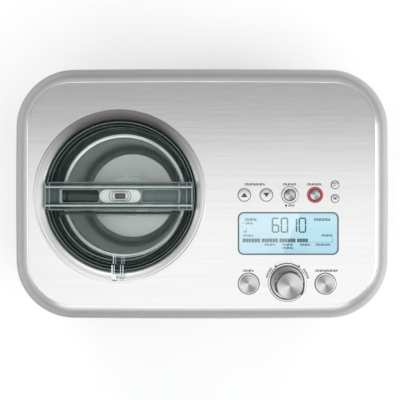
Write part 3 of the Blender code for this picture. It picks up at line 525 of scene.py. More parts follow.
def piece(name, bm, body, slot, replaces=(), at=(0.0, 0.0), look=None, sharp=32.0):
    """A finished mesh hung on its body; its own look, if given, stands in for the slot's finish."""
    bmesh.ops.remove_doubles(bm, verts=bm.verts, dist=MERGE)
    bmesh.ops.recalc_face_normals(bm, faces=bm.faces)
    axis_place = bm.verts.layers.float_vector.new("from_axis")
    for vert in bm.verts:
        vert[axis_place] = vert.co
    bmesh.ops.translate(bm, vec=(at[0], at[1], 0.0), verts=bm.verts)
    bmesh.ops.scale(bm, vec=(MM, MM, MM), verts=bm.verts)
    mesh = bpy.data.meshes.new(name)
    bm.to_mesh(mesh)
    bm.free()
    mesh.shade_smooth()
    mesh.set_sharp_from_angle(angle=math.radians(sharp))
    mesh.materials.append(look or FINISHES[slot])
    obj = bpy.data.objects.new(name, mesh)
    bpy.context.scene.collection.objects.link(obj)
    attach(obj, body)
    if replaces:
        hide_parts(*replaces)
    print(name, len(mesh.polygons), "faces on", body)


def sign(name, bm, at=(0.0, 0.0), body="housing", look=INK):
    """Ink or a painted line on a part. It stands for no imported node."""
    piece(name, bm, body, "dark_plastic", (), at, look)


def clear_line(name, bm, look, body="lid"):
    """A thin strip in the clear plastic, placed from the well's axis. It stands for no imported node."""
    piece(name, bm, body, "clear_lid", (), WELL, look)


# %% [markdown]
# ## Turned shapes
# Collar, bowl, lid, knob and buttons are all turned: a half profile spun a whole turn about the upright
# axis. A profile of straight runs would leave knife edges, so each corner is first eased by a short
# curve, as a polished edge is.

# %% Turned shapes
ON_AXIS = 1e-6


def eased(profile, radius, steps=3):
    """The closed profile with each corner right of the axis replaced by a short curve."""
    count = len(profile)
    points = []
    for i, corner in enumerate(profile):
        here = Vector(corner)
        before, after = Vector(profile[i - 1]), Vector(profile[(i + 1) % count])
        if here.x < ON_AXIS:
            points.append(here)
            continue
        into, out = before - here, after - here
        start = here + into.normalized() * min(radius, into.length * 0.45)
        end = here + out.normalized() * min(radius, out.length * 0.45)
        for k in range(steps + 1):
            t = k / steps
            points.append(start * (1 - t) ** 2 + here * (2 * t * (1 - t)) + end * t ** 2)
    return points


def spun(profile, steps=96, ease=0.0):
    """A closed (radius, height) profile spun into a solid."""
    points = eased(profile, ease) if ease else [Vector(p) for p in profile]
    bm = bmesh.new()
    verts = [bm.verts.new((p.x, 0.0, p.y)) for p in points]
    edges = [bm.edges.new((verts[i - 1], verts[i])) for i in range(len(verts))
             if max(verts[i - 1].co.x, verts[i].co.x) > ON_AXIS]
    bmesh.ops.spin(bm, geom=edges, cent=(0, 0, 0), axis=(0, 0, 1), angle=FULL_TURN, steps=steps,
                   use_merge=True)
    bmesh.ops.remove_doubles(bm, verts=bm.verts, dist=MERGE)
    bmesh.ops.recalc_face_normals(bm, faces=bm.faces)
    return bm


def band(inner, outer, low, high, steps=72, ease=0.0):
    """A flat ring of square section, or a plain plug where the inner radius is nothing."""
    return spun([(inner, low), (outer, low), (outer, high), (inner, high)], steps, ease)


# %% [markdown]
# ## Sheet and block shapes
# The other family starts from a flat rounded rectangle: a one-face grid whose corners are bevelled. It
# can be swelled so that its sides bow, pulled up into a block, or bent with insets. Openings are cut
# with a Boolean whose result is kept, so no cutter stays in the scene.

# %% Sheet and block helpers


def rounded(half_x, half_y, radius, z=0.0, segments=14, bow=0.0, side_cuts=10):
    bm = bmesh.new()
    bmesh.ops.create_grid(bm, x_segments=1, y_segments=1, size=1.0)
    bmesh.ops.scale(bm, vec=(half_x, half_y, 1.0), verts=bm.verts)
    bmesh.ops.bevel(bm, geom=list(bm.verts), offset=radius, segments=segments, profile=0.5,
                    affect="VERTICES", material=-1)
    bmesh.ops.remove_doubles(bm, verts=bm.verts, dist=MERGE)
    if bow:
        longest = radius * 0.5
        sides = [e for e in bm.edges if e.calc_length() > longest]
        bmesh.ops.subdivide_edges(bm, edges=sides, cuts=side_cuts)
        for vert in bm.verts:
            across, along = vert.co.x / half_x, vert.co.y / half_y
            vert.co.x -= bow * across * along ** 2
            vert.co.y -= bow * along * across ** 2
    bmesh.ops.translate(bm, vec=(0.0, 0.0, z), verts=bm.verts)
    return bm


def pulled(bm, height, way=(0.0, 0.0, 1.0)):
    """A flat face pulled up into a solid."""
    grown = bmesh.ops.extrude_face_region(bm, geom=list(bm.faces))
    verts = [item for item in grown["geom"] if isinstance(item, bmesh.types.BMVert)]
    bmesh.ops.translate(bm, vec=Vector(way) * height, verts=verts)
    bmesh.ops.recalc_face_normals(bm, faces=bm.faces)
    return bm


def outlined(points, height, lay=None):
    """A block from a given outline, laid another way by a matrix if one is given."""
    bm = bmesh.new()
    bm.faces.new([bm.verts.new((x, y, 0.0)) for x, y in points])
    pulled(bm, height)
    return laid(bm, lay) if lay else bm


def laid(bm, matrix):
    bmesh.ops.transform(bm, matrix=matrix, verts=bm.verts)
    return bm


def softened(bm, width, segments=2, angle=40.0):
    """Rounds every edge sharper than the angle."""
    limit = math.radians(angle)
    edges = [e for e in bm.edges if len(e.link_faces) == 2 and e.calc_face_angle() > limit]
    bmesh.ops.bevel(bm, geom=edges, offset=width, segments=segments, profile=0.5, affect="EDGES",
                    clamp_overlap=True, material=-1)
    return bm


def block(low, high, soften=0.0):
    bm = bmesh.new()
    size = Vector(high) - Vector(low)
    centre = (Vector(high) + Vector(low)) / 2
    bmesh.ops.create_cube(bm, size=1.0, matrix=Matrix.Translation(centre) @ Matrix.Diagonal((*size, 1.0)))
    return softened(bm, soften) if soften else bm


def cross_block(x0, x1, half_y, low, high, soften):
    """A softened block across the lid's middle line, whichever way round its ends are given."""
    return block((min(x0, x1), -half_y, low), (max(x0, x1), half_y, high), soften)


def rounded_ring(half_x, half_y, radius, width, low, high, under=1.0):
    """A rounded frame of one width; the cutter for its middle starts under it."""
    ring = pulled(rounded(half_x, half_y, radius, low, 10), high - low)
    hole = rounded(half_x - width, half_y - width, radius - width, low - under, 10)
    return carved(ring, pulled(hole, high - low + 2 * under))


def merged(*parts):
    """Several meshes in one, without cutting them into each other."""
    whole = bmesh.new()
    for part in parts:
        held = bpy.data.meshes.new("held")
        part.to_mesh(held)
        part.free()
        whole.from_mesh(held)
        bpy.data.meshes.remove(held)
    return whole


def stand_by(bm):
    mesh = bpy.data.meshes.new("blank")
    bm.to_mesh(mesh)
    bm.free()
    obj = bpy.data.objects.new("blank", mesh)
    bpy.context.scene.collection.objects.link(obj)
    return obj


def carved(bm, *others, way="DIFFERENCE"):
    """The solid with others cut away from it, or joined to it."""
    blank = stand_by(bm)
    tools = [stand_by(other) for other in others]
    for one in tools:
        change = blank.modifiers.new("carve", "BOOLEAN")
        change.operation = way
        change.object = one
    result = bmesh.new()
    result.from_object(blank, bpy.context.evaluated_depsgraph_get())
    for one in [blank, *tools]:
        mesh = one.data
        bpy.data.objects.remove(one)
        bpy.data.meshes.remove(mesh)
    return result


def shifted(bm, x, y, z=0.0):
    bmesh.ops.translate(bm, vec=(x, y, z), verts=bm.verts)
    return bm


UPRIGHT_FROM_X = Matrix.Rotation(math.pi / 2, 4, "Z") @ Matrix.Rotation(math.pi / 2, 4, "X")
UPRIGHT_FROM_Y = Matrix.Rotation(math.pi / 2, 4, "X")
ALONG_X = Matrix.Rotation(math.pi / 2, 4, "Y")

# %% [markdown]
# ## The top cover
# The real cover is one sheet of steel pressed over a form: a short skirt, a rolled edge, a sloping band
# and the flat fascia. Insetting one rounded face again and again, each time a little further in and
# higher, follows that press stroke for stroke. The band is split in four, each step less steep, so it
# crowns like sheet metal. Then the sheet gets its thickness and its holes.

# %% Top cover
COVER_STEPS = [(0.25, 0.95), (0.45, 0.75), (0.9, 0.85), (3.5, 3.35), (3.5, 3.0), (3.6, 2.75), (3.5, 2.45),
               (0.45, 0.30), (0.35, 0.10), (0.6, 0.0)]
SHEET = 1.5
RINGS = {name: name.replace("button", "ring") for name in ("precool_button", "keepcool_button")}
CAP_R = {name: (highest(name).x - lowest(name).x) / 2 for name in BUTTONS}
RING_R = {name: (highest(ring).x - lowest(ring).x) / 2 for name, ring in RINGS.items()}
HOLE_R = {name: RING_R[name] - 1.2 if name in RING_R else CAP_R[name] + 0.4 for name in BUTTONS}


def hole(radius, place, steps):
    """A plug that cuts a round hole through the fascia."""
    return shifted(band(0, radius, FASCIA - 15.0, FASCIA + 10.0, steps), place[0], place[1])


def make_cover():
    rise = sum(depth for _, depth in COVER_STEPS)
    bm = rounded(COVER_HALF.x, COVER_HALF.y, 62.0, FASCIA - rise, segments=24, bow=SWELL)
    for thickness, depth in COVER_STEPS:
        flat = [f for f in bm.faces if len(f.verts) > 4]
        bmesh.ops.inset_region(bm, faces=flat, thickness=thickness, depth=depth, use_boundary=True,
                               use_even_offset=True)
    rim = [e for e in bm.edges if e.is_boundary]
    dropped = bmesh.ops.extrude_edge_only(bm, edges=rim)
    verts = [item for item in dropped["geom"] if isinstance(item, bmesh.types.BMVert)]
    bmesh.ops.translate(bm, vec=(0.0, 0.0, COVER_EDGE - (FASCIA - rise)), verts=verts)
    bmesh.ops.recalc_face_normals(bm, faces=bm.faces)
    bmesh.ops.solidify(bm, geom=list(bm.faces), thickness=SHEET)
    bmesh.ops.recalc_face_normals(bm, faces=bm.faces)
    window = shifted(pulled(rounded(53.95, 22.9, 6.5, FASCIA - 15.0, 8), 30.0), *DISPLAY)
    cutters = [hole(COLLAR_R - 2.2, WELL, 128), window, hole(18.5, DIAL, 64)]
    cutters += [hole(HOLE_R[name], place, 48) for name, place in BUTTONS.items()]
    piece("pressed_cover", carved(bm, *cutters), "housing", "brushed_fascia", ["top_cover"], sharp=28.0)


make_cover()

# %% [markdown]
# ## The wrap, plinth, feet and cord grommet
# Below the cover a brushed band wraps the sides, open where the air grilles sit behind it. It stands on
# a dark moulded plinth with four rubber feet, and the supply cord's grommet is pressed into the
# plinth's rear wall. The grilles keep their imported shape, which is already right.

# %% Wrap, plinth, feet and grommet
WRAP_HALF = (highest("outer_wrap").x, highest("outer_wrap").y)
WRAP_Z = (lowest("outer_wrap").z, highest("outer_wrap").z)


def opening(grille, depth_way):
    """A rounded cutter as large as the face that the grille shows through the wrap."""
    low, high = lowest(grille), highest(grille)
    centre = (low + high) / 2
    rim = 4.0
    wide = (high.y - low.y if depth_way == "x" else high.x - low.x) / 2 - rim
    tall = (high.z - low.z) / 2 - rim
    cutter = pulled(rounded(wide, tall, 3.0, -15.0, 6), 30.0)
    laid(cutter, UPRIGHT_FROM_X if depth_way == "x" else UPRIGHT_FROM_Y)
    return shifted(cutter, centre.x, centre.y, centre.z)


def make_wrap():
    half_x, half_y = WRAP_HALF
    low, high = WRAP_Z
    bm = rounded(half_x, half_y, 60.0, low, 24, SWELL)
    bmesh.ops.inset_region(bm, faces=list(bm.faces), thickness=1.2, depth=0.0, use_boundary=True,
                           use_even_offset=True)
    core = [f for f in bm.faces if len(f.verts) > 4]
    bmesh.ops.delete(bm, geom=core, context="FACES")
    pulled(bm, high - low)
    wrap = carved(bm, opening("vent_grille_side", "x"), opening("vent_grille_rear", "y"))
    piece("brushed_wrap_band", wrap, "housing", "brushed_wrap", ["outer_wrap"])


def make_plinth():
    floor = lowest("base_pan").z
    top = highest("base_pan").z
    ledge = WRAP_Z[0] - 0.3
    body = pulled(rounded(194.5, 128.2, 54.0, floor, 20, SWELL), ledge - floor)
    softened(body, 1.2)
    shelf = pulled(rounded(200.2, 133.9, 59.7, ledge - 3.2, 20, SWELL), 3.2)
    softened(shelf, 0.5)
    collar = pulled(rounded(197.5, 131.2, 57.0, ledge - 1.0, 20, SWELL), top - ledge + 1.0)
    pocket = pulled(rounded(192.0, 125.7, 51.5, floor + 3.0, 20, SWELL), 60.0)
    gland = middle("cord_gland")
    cord_hole = laid(band(0, 4.9, -14, 14, 32), UPRIGHT_FROM_Y)
    shifted(cord_hole, gland.x, 128.0, gland.z)
    groove = pulled(rounded(196.0, 130.0, 55.5, floor + 4.0, 20, SWELL), 0.8)
    keep = pulled(rounded(193.9, 127.6, 53.4, floor + 3.5, 20, SWELL), 2.0)
    shadow_line = carved(groove, keep)
    shell = carved(body, shelf, collar, way="UNION")
    shell = carved(shell, pocket, cord_hole, shadow_line)
    piece("moulded_plinth", shell, "housing", "dark_plastic", ["base_pan"])


def make_feet():
    for name in [n for n in frame["nodes"] if n.startswith("foot_")]:
        place = middle(name)
        radius = highest(name).x - place.x
        top = highest(name).z
        profile = [(0, 0.9), (radius - 5.2, 0.9), (radius - 4.6, 0), (radius - 1.5, 0), (radius, 1.6),
                   (radius - 0.2, 3.4), (radius - 1.0, 3.9), (radius - 0.3, 4.4), (radius - 1.0, top),
                   (0, top)]
        piece("pad_" + name, spun(profile, 48, 0.4), "housing", "rubber", [name], (place.x, place.y))


def make_grommet():
    place = middle("cord_gland")
    inner, length = 3.3, 14.0
    profile = [(inner, 0.0), (4.5, 0.0), (4.5, 9.4), (6.6, 9.4), (6.6, 11.0), (6.0, 11.6), (6.2, 12.2),
               (5.5, 12.7), (5.6, 13.3), (5.0, length), (inner, length)]
    bm = spun(profile, 40, 0.25)
    laid(bm, Matrix.Rotation(-math.pi / 2, 4, "X"))
    shifted(bm, place.x, lowest("cord_gland").y, place.z)
    piece("ribbed_grommet", bm, "housing", "rubber", ["cord_gland"])


make_wrap()
make_plinth()
make_feet()
make_grommet()

# %% [markdown]
# ## Collar and freezing chamber
# A spun collar drops from the fascia into the well in one flowing curve and meets the chamber, the cold
# aluminium pot that the bowl stands in. A thin dark ring lies over the chamber's lip, so the well looks
# dark all round the bowl.

# %% Collar, chamber and trim


def make_well():
    lip, neck, wall = COLLAR_R, COLLAR_R - 2.8, 81.6
    collar = [(lip, FASCIA + 0.3), (lip - 0.2, FASCIA + 0.75), (neck + 0.9, FASCIA + 0.9),
              (neck + 0.1, FASCIA + 0.3), (neck - 1.6, FASCIA + 0.3), (neck - 4.0, FASCIA - 0.5),
              (wall + 2.0, FASCIA - 1.4), (wall + 0.6, FASCIA - 2.6),
              (wall, FASCIA - 4.6), (wall, CHAMBER_LIP + 0.3), (wall + 1.2, CHAMBER_LIP + 0.3),
              (wall + 1.2, FASCIA - 5.4), (83.4, FASCIA - 3.8), (85.2, FASCIA - 2.8),
              (neck - 3.6, FASCIA - 2.0),
              (neck - 1.2, FASCIA - 1.4), (neck, FASCIA - 1.0), (neck, FASCIA + 0.3)]
    ring = spun(collar, 160, 0.5)
    piece("spun_collar_ring", ring, "housing", "spun_collar", ["well_collar"], WELL, COLLAR_LOOK)
    floor = lowest("chamber").z + 1.5
    chamber = [(9.0, floor), (48.0, floor), (58.5, floor + 3.6), (64.4, floor + 14.0), (67.4, CHAMBER_LIP),
               (81.0, CHAMBER_LIP), (81.0, CHAMBER_LIP - 1.5), (68.9, CHAMBER_LIP - 1.5), (65.9, floor + 13.6),
               (59.4, floor + 2.4), (48.0, floor - 1.5), (9.0, floor - 1.5)]
    piece("freezing_chamber", spun(chamber, 96, 1.2), "housing", "bowl_aluminium", ["chamber"], WELL)
    # a thin dark ring over the chamber's lip
    trim = [(69.0, CHAMBER_LIP + 0.05), (80.8, CHAMBER_LIP + 0.05), (80.8, CHAMBER_LIP + 30.0),
            (80.2, CHAMBER_LIP + 30.0), (79.8, CHAMBER_LIP + 3.0), (78.6, CHAMBER_LIP + 1.2),
            (70.0, CHAMBER_LIP + 0.9)]
    piece("chamber_trim", spun(trim, 128, 0.2), "housing", "rubber", (), WELL, TRIM)


make_well()

# %% [markdown]
# ## The bowl and its bail
# The bowl is deep-drawn aluminium with a rolled flange and a tube up its middle for the spindle. The
# rolled bead on the rim and the brushed facing on the floor catch the light in their own way, so each
# is a thin piece of its own over the drawn shape. The wire bail lies round the rear of the rim and
# swings up on two studs to lift the bowl out: a circle spun half a turn, with an eye at each end.

# %% Bowl and bail
BAIL_Z = middle("bowl_bail").z
BAIL_R = 75.5
FACING_R = 26.5     # where the floor's brushed facing starts, outside the hub's seat


def turned_sideways(bm, side):
    """A shape from the upright axis laid along x, towards one side."""
    return laid(bm, Matrix.Rotation(side * math.pi / 2, 4, "Y"))


def make_bowl():
    floor = lowest("bowl").z + 1.6
    bowl = [(5.6, floor - 1.6), (47.0, floor - 1.6), (57.6, floor + 1.6), (63.2, floor + 12.5),
            (66.6, RIM - 2.2),
            (72.2, RIM - 2.0), (72.8, RIM - 0.9), (71.8, RIM - 0.3), (67.4, RIM), (65.4, RIM - 1.6),
            (61.6, floor + 12.5), (60.2, floor + 6.6), (56.9, floor + 3.0), (53.4, floor + 1.15),
            (FLOOR_R, floor), (26.0, floor), (25.0, floor + 0.4), (24.0, floor), (8.0, floor), (8.0, 150.0),
            (5.6, 150.0)]
    pot = spun(bowl, 128, 0.9)
    studs = []
    for side in (-1, 1):
        stud = spun([(0, 65.9), (1.8, 65.9), (1.8, 77.0), (1.4, 77.4), (0, 77.4)], 24)
        studs.append(shifted(turned_sideways(stud, side), 0.0, 0.0, BAIL_Z))
    pot = carved(pot, *studs, way="UNION")
    piece("drawn_bowl", pot, "bowl", "bowl_aluminium", ["bowl"], WELL, BOWL_LOOK)
    bead = [(68.6, RIM - 0.25), (67.6, RIM + 0.05), (65.6, RIM - 0.5), (64.4, RIM - 3.2), (64.9, RIM - 3.4),
            (66.0, RIM - 1.2), (68.2, RIM - 0.6)]
    piece("rolled_rim", spun(bead, 128, 0.2), "bowl", "bowl_aluminium", (), WELL, RIM_LOOK)
    disc = band(FACING_R, FLOOR_R, floor - 0.1, floor + 0.04, 128)
    piece("bowl_floor_facing", disc, "bowl", "bowl_aluminium", (), WELL, BOWL_FLOOR)


def make_bail():
    start = 2.8 / BAIL_R
    rod = bmesh.new()
    stand = (Matrix.Rotation(start, 4, "Z") @ Matrix.Translation((BAIL_R, 0, 0))
             @ Matrix.Rotation(math.pi / 2, 4, "X"))
    bmesh.ops.create_circle(rod, segments=14, radius=1.7, matrix=stand)
    bmesh.ops.spin(rod, geom=list(rod.edges), cent=(0, 0, 0), axis=(0, 0, 1), angle=math.pi - 2 * start,
                   steps=64)
    bmesh.ops.holes_fill(rod, edges=[e for e in rod.edges if e.is_boundary])
    bmesh.ops.recalc_face_normals(rod, faces=rod.faces)
    eyes = [turned_sideways(band(2.1, 3.6, BAIL_R - 1.2, BAIL_R + 1.2, 32, 0.25), side) for side in (-1, 1)]
    bail = carved(rod, *eyes, way="UNION")
    shifted(bail, 0.0, 0.0, BAIL_Z)
    piece("wire_bail", bail, "bail", "bowl_aluminium", ["bowl_bail"], WELL, FINISHES["shaft_steel"])


make_bowl()
make_bail()

# %% [markdown]
# ## The paddle
# The paddle is one moulding: a flared hub over the bowl's tube, and two scraping frames that reach
# the wall. Under the lid only its pale hub shows, with a rounded crown.

# %% Paddle


def make_paddle():
    top = highest("paddle").z
    low = lowest("paddle").z
    hub = [(0, 152.5), (8.7, 152.5), (8.7, low), (17.0, low), (15.0, low + 14), (11.5, low + 34),
           (12.5, 186.0), (19.5, top - 6), (21.5, top - 3), (20.8, top - 0.9), (17.0, top),
           (8.5, top - 0.2), (7.5, top - 1.2), (0, top - 1.2)]
    paddle = spun(hub, 64, 0.8)
    blade = [(9.8, low + 0.2), (46.0, low + 0.2), (53.6, low + 3.2), (58.2, low + 9.0), (59.6, low + 15.0),
             (62.2, 186.0), (60.0, 190.0), (11.0, 190.0), (11.0, 182.0), (51.0, 182.0), (55.0, 178.0),
             (52.2, low + 20.0), (46.0, low + 13.0), (9.8, low + 10.0)]
    blades = []
    for side in (0, 1):
        one = softened(outlined(blade, 3.2), 0.5)
        shifted(one, 0.0, 0.0, -1.6)
        blades.append(laid(one, Matrix.Rotation(side * math.pi, 4, "Z") @ UPRIGHT_FROM_Y))
    paddle = carved(paddle, *blades, way="UNION")
    paddle = carved(paddle, band(0, 5.0, 150, 187, 6))
    piece("scraper_paddle", paddle, "paddle", "grey_plastic", ["paddle"], WELL)


make_paddle()

# %% [markdown]
# ## The lid
# The lid is one clear moulding: a flat disc, a raised rim that fills the collar and a skirt that reaches
# down to the bowl. The front half is open under a hinged hatch, through which nuts or fruit are dropped.
# It is spun first, because nearly all of it is round, and then cut for the hatch and the handle. Thin
# rings on its rim and skirt are painted highlights: the pale lines that a clear edge shows all the way
# round.

# %% Lid
LID_TOP = lowest("lid_flap").z - 0.3
HINGE = (middle("flap_hinge_pin").y - WELL[1], middle("flap_hinge_pin").z)


def half_disc(radius, chord, low, high):
    """The part of a disc in front of a straight edge."""
    bm = bmesh.new()
    bmesh.ops.create_circle(bm, cap_ends=True, segments=160, radius=radius)
    everything = list(bm.verts) + list(bm.edges) + list(bm.faces)
    bmesh.ops.bisect_plane(bm, geom=everything, plane_co=(0, chord, 0), plane_no=(0, 1, 0), clear_outer=True)
    bmesh.ops.translate(bm, vec=(0, 0, low), verts=bm.verts)
    return pulled(bm, high - low)


def rod_along_x(radius, reach, steps=24):
    return shifted(laid(band(0, radius, -reach, reach, steps), ALONG_X), 0.0, *HINGE)


def make_lid():
    top, under = LID_TOP, LID_TOP - 2.5
    disc = [(0, top), (70.2, top), (71.0, top + 0.5), (71.8, top), (76.2, top), (77.6, top + 2.4),
            (79.6, top + 3.0), (LID_R, top + 2.2), (LID_R, under - 1.0), (79.2, under - 1.0), (77.8, under),
            (74.5, under), (74.5, 207.2), (72.5, 207.2), (72.5, under), (0, under)]
    lid = spun(disc, 144, 0.6)
    seat = block((-90, -15.9, top + 0.15), (90, 15.9, 250))
    lid = carved(lid, seat, half_disc(65.5, HINGE[0] - 4.2, under - 5, top + 5))
    bosses = [block((x - 1.7, HINGE[0] - 2.4, top - 1.0), (x + 1.7, HINGE[0] + 2.3, top + 5.2), 0.5)
              for x in (-62.6, 62.6)]
    lid = carved(lid, *bosses, way="UNION")
    lid = carved(lid, rod_along_x(1.5, 66.0))
    piece("clear_lid_pane", lid, "lid", "clear_lid", ["lid_disc"], WELL)
    # painted highlights: thin pale rings along the rim and skirt edges
    rows = ((79.3, 0.9, top + 2.85), (76.4, 0.5, top + 0.4), (74.0, 0.5, 207.0), (72.6, 0.4, 207.0))
    lines = [band(inner, inner + wide, low, low + 0.35, 128, 0.1) for inner, wide, low in rows]
    clear_line("lid_edge_lines", merged(*lines), EDGE_LINE)
    gasket = [(69.0, RIM + 0.3), (74.4, RIM + 0.3), (74.4, 206.9), (73.4, 206.9), (72.9, 205.6), (71.9, 205.6),
              (71.4, 206.9), (70.5, 206.9)]
    piece("lid_seal_ring", spun(gasket, 128, 0.25), "lid", "rubber", ["lid_gasket"], WELL, SEAL)


# %% [markdown]
# ## The handle across the lid
# Two clear rails stand along the middle of the lid with a finger channel between them. Knuckled blocks
# close the channel's ends and a pale plate sits over its middle. The rails are one outline pulled the
# whole width of the lid; the plate's nested outlines are grooves cut with rounded rings. The channel's
# floor, painted shade on the left and a painted reflection on the right, and the painted highlight and
# shade lines along the bends are thin strips, because the mixed shader doesn't bend light.

# %% Handle


def make_handle():
    base = lowest("lid_handle").z
    top = highest("lid_handle").z
    reach = (highest("lid_handle").x - lowest("lid_handle").x) / 2
    right = [(15.5, base), (15.5, base + 1.5), (12.6, base + 2.0), (11.9, top - 0.8), (11.2, top),
             (8.3, top), (7.6, top - 0.8), (7.4, base + 2.0)]
    section = right + [(-y, z) for y, z in reversed(right)]
    # only the corners right of the axis are eased, so the left rail is the eased right one in mirror
    half = [p for p in eased(section, 0.6) if p.x > 0]
    outline = [(p.x, p.y) for p in half] + [(-p.x, p.y) for p in reversed(half)]
    rail = shifted(outlined(outline, 2 * reach), 0.0, 0.0, -reach)
    piece("grip_rails", laid(rail, UPRIGHT_FROM_X), "lid", "clear_lid", ["lid_handle"], WELL, CLEAR_GRIP)


# %% [markdown]
# ## The channel's floor and the bright lines
# Through the clear rails the channel looks like smoke with a bright bead round it: a strip of painted
# shade or painted reflection, framed by a painted highlight. Each strip could be painted on the lid's top,
# but a strip with a thickness keeps its edge from every side.

# %% Channel and rail lines
CHANNEL_MIDDLE = 43.6      # from the lid's middle to the middle of each half of the channel
CHANNEL_HALF = (20.6, 6.9)


def make_channel():
    """The floor between the rails, painted shade on the left and a painted reflection on the right, round at
    its ends, and the painted highlight bead that frames it.
    """
    floor = lowest("handle_plate").z - 0.25
    for side, name, painted_tone in ((-1, "left", CHANNEL), (1, "right", PAINTED_REFLECTION_CHANNEL)):
        middle_x = side * CHANNEL_MIDDLE
        slab = softened(pulled(rounded(*CHANNEL_HALF, 3.2, floor, 8), 0.2), 0.05)
        # the left floor is painted shade, the right a paler painted reflection
        clear_line("channel_floor_" + name, shifted(slab, middle_x, 0.0), painted_tone)
        # a painted highlight bead round the floor
        bead = pulled(rounded(21.3, 7.35, 3.7, floor, 8), 0.5)
        bead = carved(bead, pulled(rounded(*CHANNEL_HALF, 3.2, floor - 1.0, 8), 4.0))
        clear_line("channel_bead_" + name, shifted(bead, middle_x, 0.0), LIT_EDGE)


def make_rail_lines():
    """Lengthwise lines where a clear rail's bends gather light or close it out, and lines across its ends."""
    base, top = lowest("lid_handle").z, highest("lid_handle").z
    reach = (highest("lid_handle").x - lowest("lid_handle").x) / 2 - 1.0
    lit = [(-10.9, -9.3, top + 0.02), (8.6, 10.2, top + 0.02)]
    soft = [(-15.4, -13.9, base + 1.6), (14.0, 15.2, base + 1.6)]
    dark = [(-13.3, -11.3, top - 0.4), (-8.4, -7.5, top - 0.2), (11.4, 13.3, top - 0.4), (7.4, 8.0, top - 0.2)]
    for name, rows, look in (("lit", lit, LIT_EDGE), ("soft", soft, SOFT_EDGE), ("dark", dark, DARK_EDGE)):
        bars = [block((-reach, low, z), (reach, high, z + 0.3), 0.1) for low, high, z in rows]
        clear_line("rail_lines_" + name, merged(*bars), look)
    posts = [cross_block(x0, x1, half, top - 0.2, top + 0.1, 0.1)
             for x0, x1, half in ((-79.0, -77.6, 13.6), (-74.4, -73.4, 13.6), (63.2, 64.4, 13.6),
                                  (71.4, 72.3, 13.6), (76.8, 78.2, 13.6), (-63.0, -60.2, 7.4))]
    clear_line("rail_end_lines", merged(*posts), SOFT_EDGE)


# %% [markdown]
# ## The blocks and the plate on the handle
# The end blocks stop the fingers: a foot, an outer wall, a low rung and three round knuckles, joined
# into one clear moulding. The pale plate between the channels is a rounded block with two sunk rings
# and a slot. Dark lines of painted shade lie in the rings, and a small dark insert with a stud fills
# the slot as painted shade.

# %% Grip ends and plate
RING_OUTLINES = ((12.6, 6.2), (9.6, 5.2))      # half sizes of the two sunk rings
LINE_OUTLINES = ((11.8, 5.6), (8.9, 4.6))      # and of the dark lines in them


def make_grip_ends():
    for side, name in ((-1, "handle_end_left"), (1, "handle_end_right")):
        low, high = lowest(name), highest(name)
        inner, outer = sorted((low.x - WELL[0], high.x - WELL[0]), key=abs)
        wall, rung = outer - side * 2.2, outer - side * 5.2
        solid = [cross_block(inner, outer, 7.0, low.z, low.z + 3.4, 0.5),
                 cross_block(wall, outer, 7.0, low.z + 3.0, high.z, 0.5)]
        for step in (-1, 0, 1):
            knuckle = turned_sideways(band(0, 1.35, 0, 5.4, 20, 0.3), side)
            solid.append(shifted(knuckle, inner + side * 3.0, step * 3.6, low.z + 5.0))
        solid.append(cross_block(rung, rung + side * 1.6, 6.4, low.z + 3.0, high.z - 1.4, 0.3))
        whole = carved(*solid, way="UNION")
        piece(name.replace("handle_", "grip_"), whole, "lid", "clear_lid", [name], WELL, CLEAR_GRIP)


def make_grip_plate():
    low, high = lowest("handle_plate").z, highest("handle_plate").z
    plate = softened(pulled(rounded(22.0, 7.1, 6.6, low, 10), high - low), 0.5)
    grooves = [rounded_ring(half_x, half_y, half_y - 0.6, 0.7, high - 0.7, high + 4.3)
               for half_x, half_y in RING_OUTLINES]
    slot = pulled(rounded(6.0, 3.4, 1.5, high - 1.2, 6), 5.0)
    plate = carved(plate, slot, *grooves)
    piece("grip_plate", plate, "lid", "grey_plastic", ["handle_plate"], WELL)
    # painted shade: a dark insert and stud that fill the slot
    insert = softened(pulled(rounded(5.7, 3.1, 1.2, high - 1.15, 6), 0.5), 0.15)
    stud = softened(pulled(rounded(1.9, 1.9, 0.9, high - 0.7, 5), 0.5), 0.15)
    piece("grip_slot_shade", merged(insert, stud), "lid", "dark_plastic", (), WELL, OUTLINE)
    # painted shade: dark lines in the sunk rings
    lines = [rounded_ring(half_x, half_y, half_y - 0.6, 0.55, high - 0.3, high + 0.06)
             for half_x, half_y in LINE_OUTLINES]
    clear_line("grip_plate_lines", merged(*lines), PLATE_LINE)


# %% [markdown]
# ## The hatch
# The hatch is a half disc with a hinge barrel along its straight side. A lifting tab with two rails
# climbs over the lid's rim at the front, so that a finger can flip the hatch open. The bright lines on
# the tab and along the round edge are painted highlights: narrow blocks in a pale mix, laid on the
# faces that they light up.

# %% Hatch


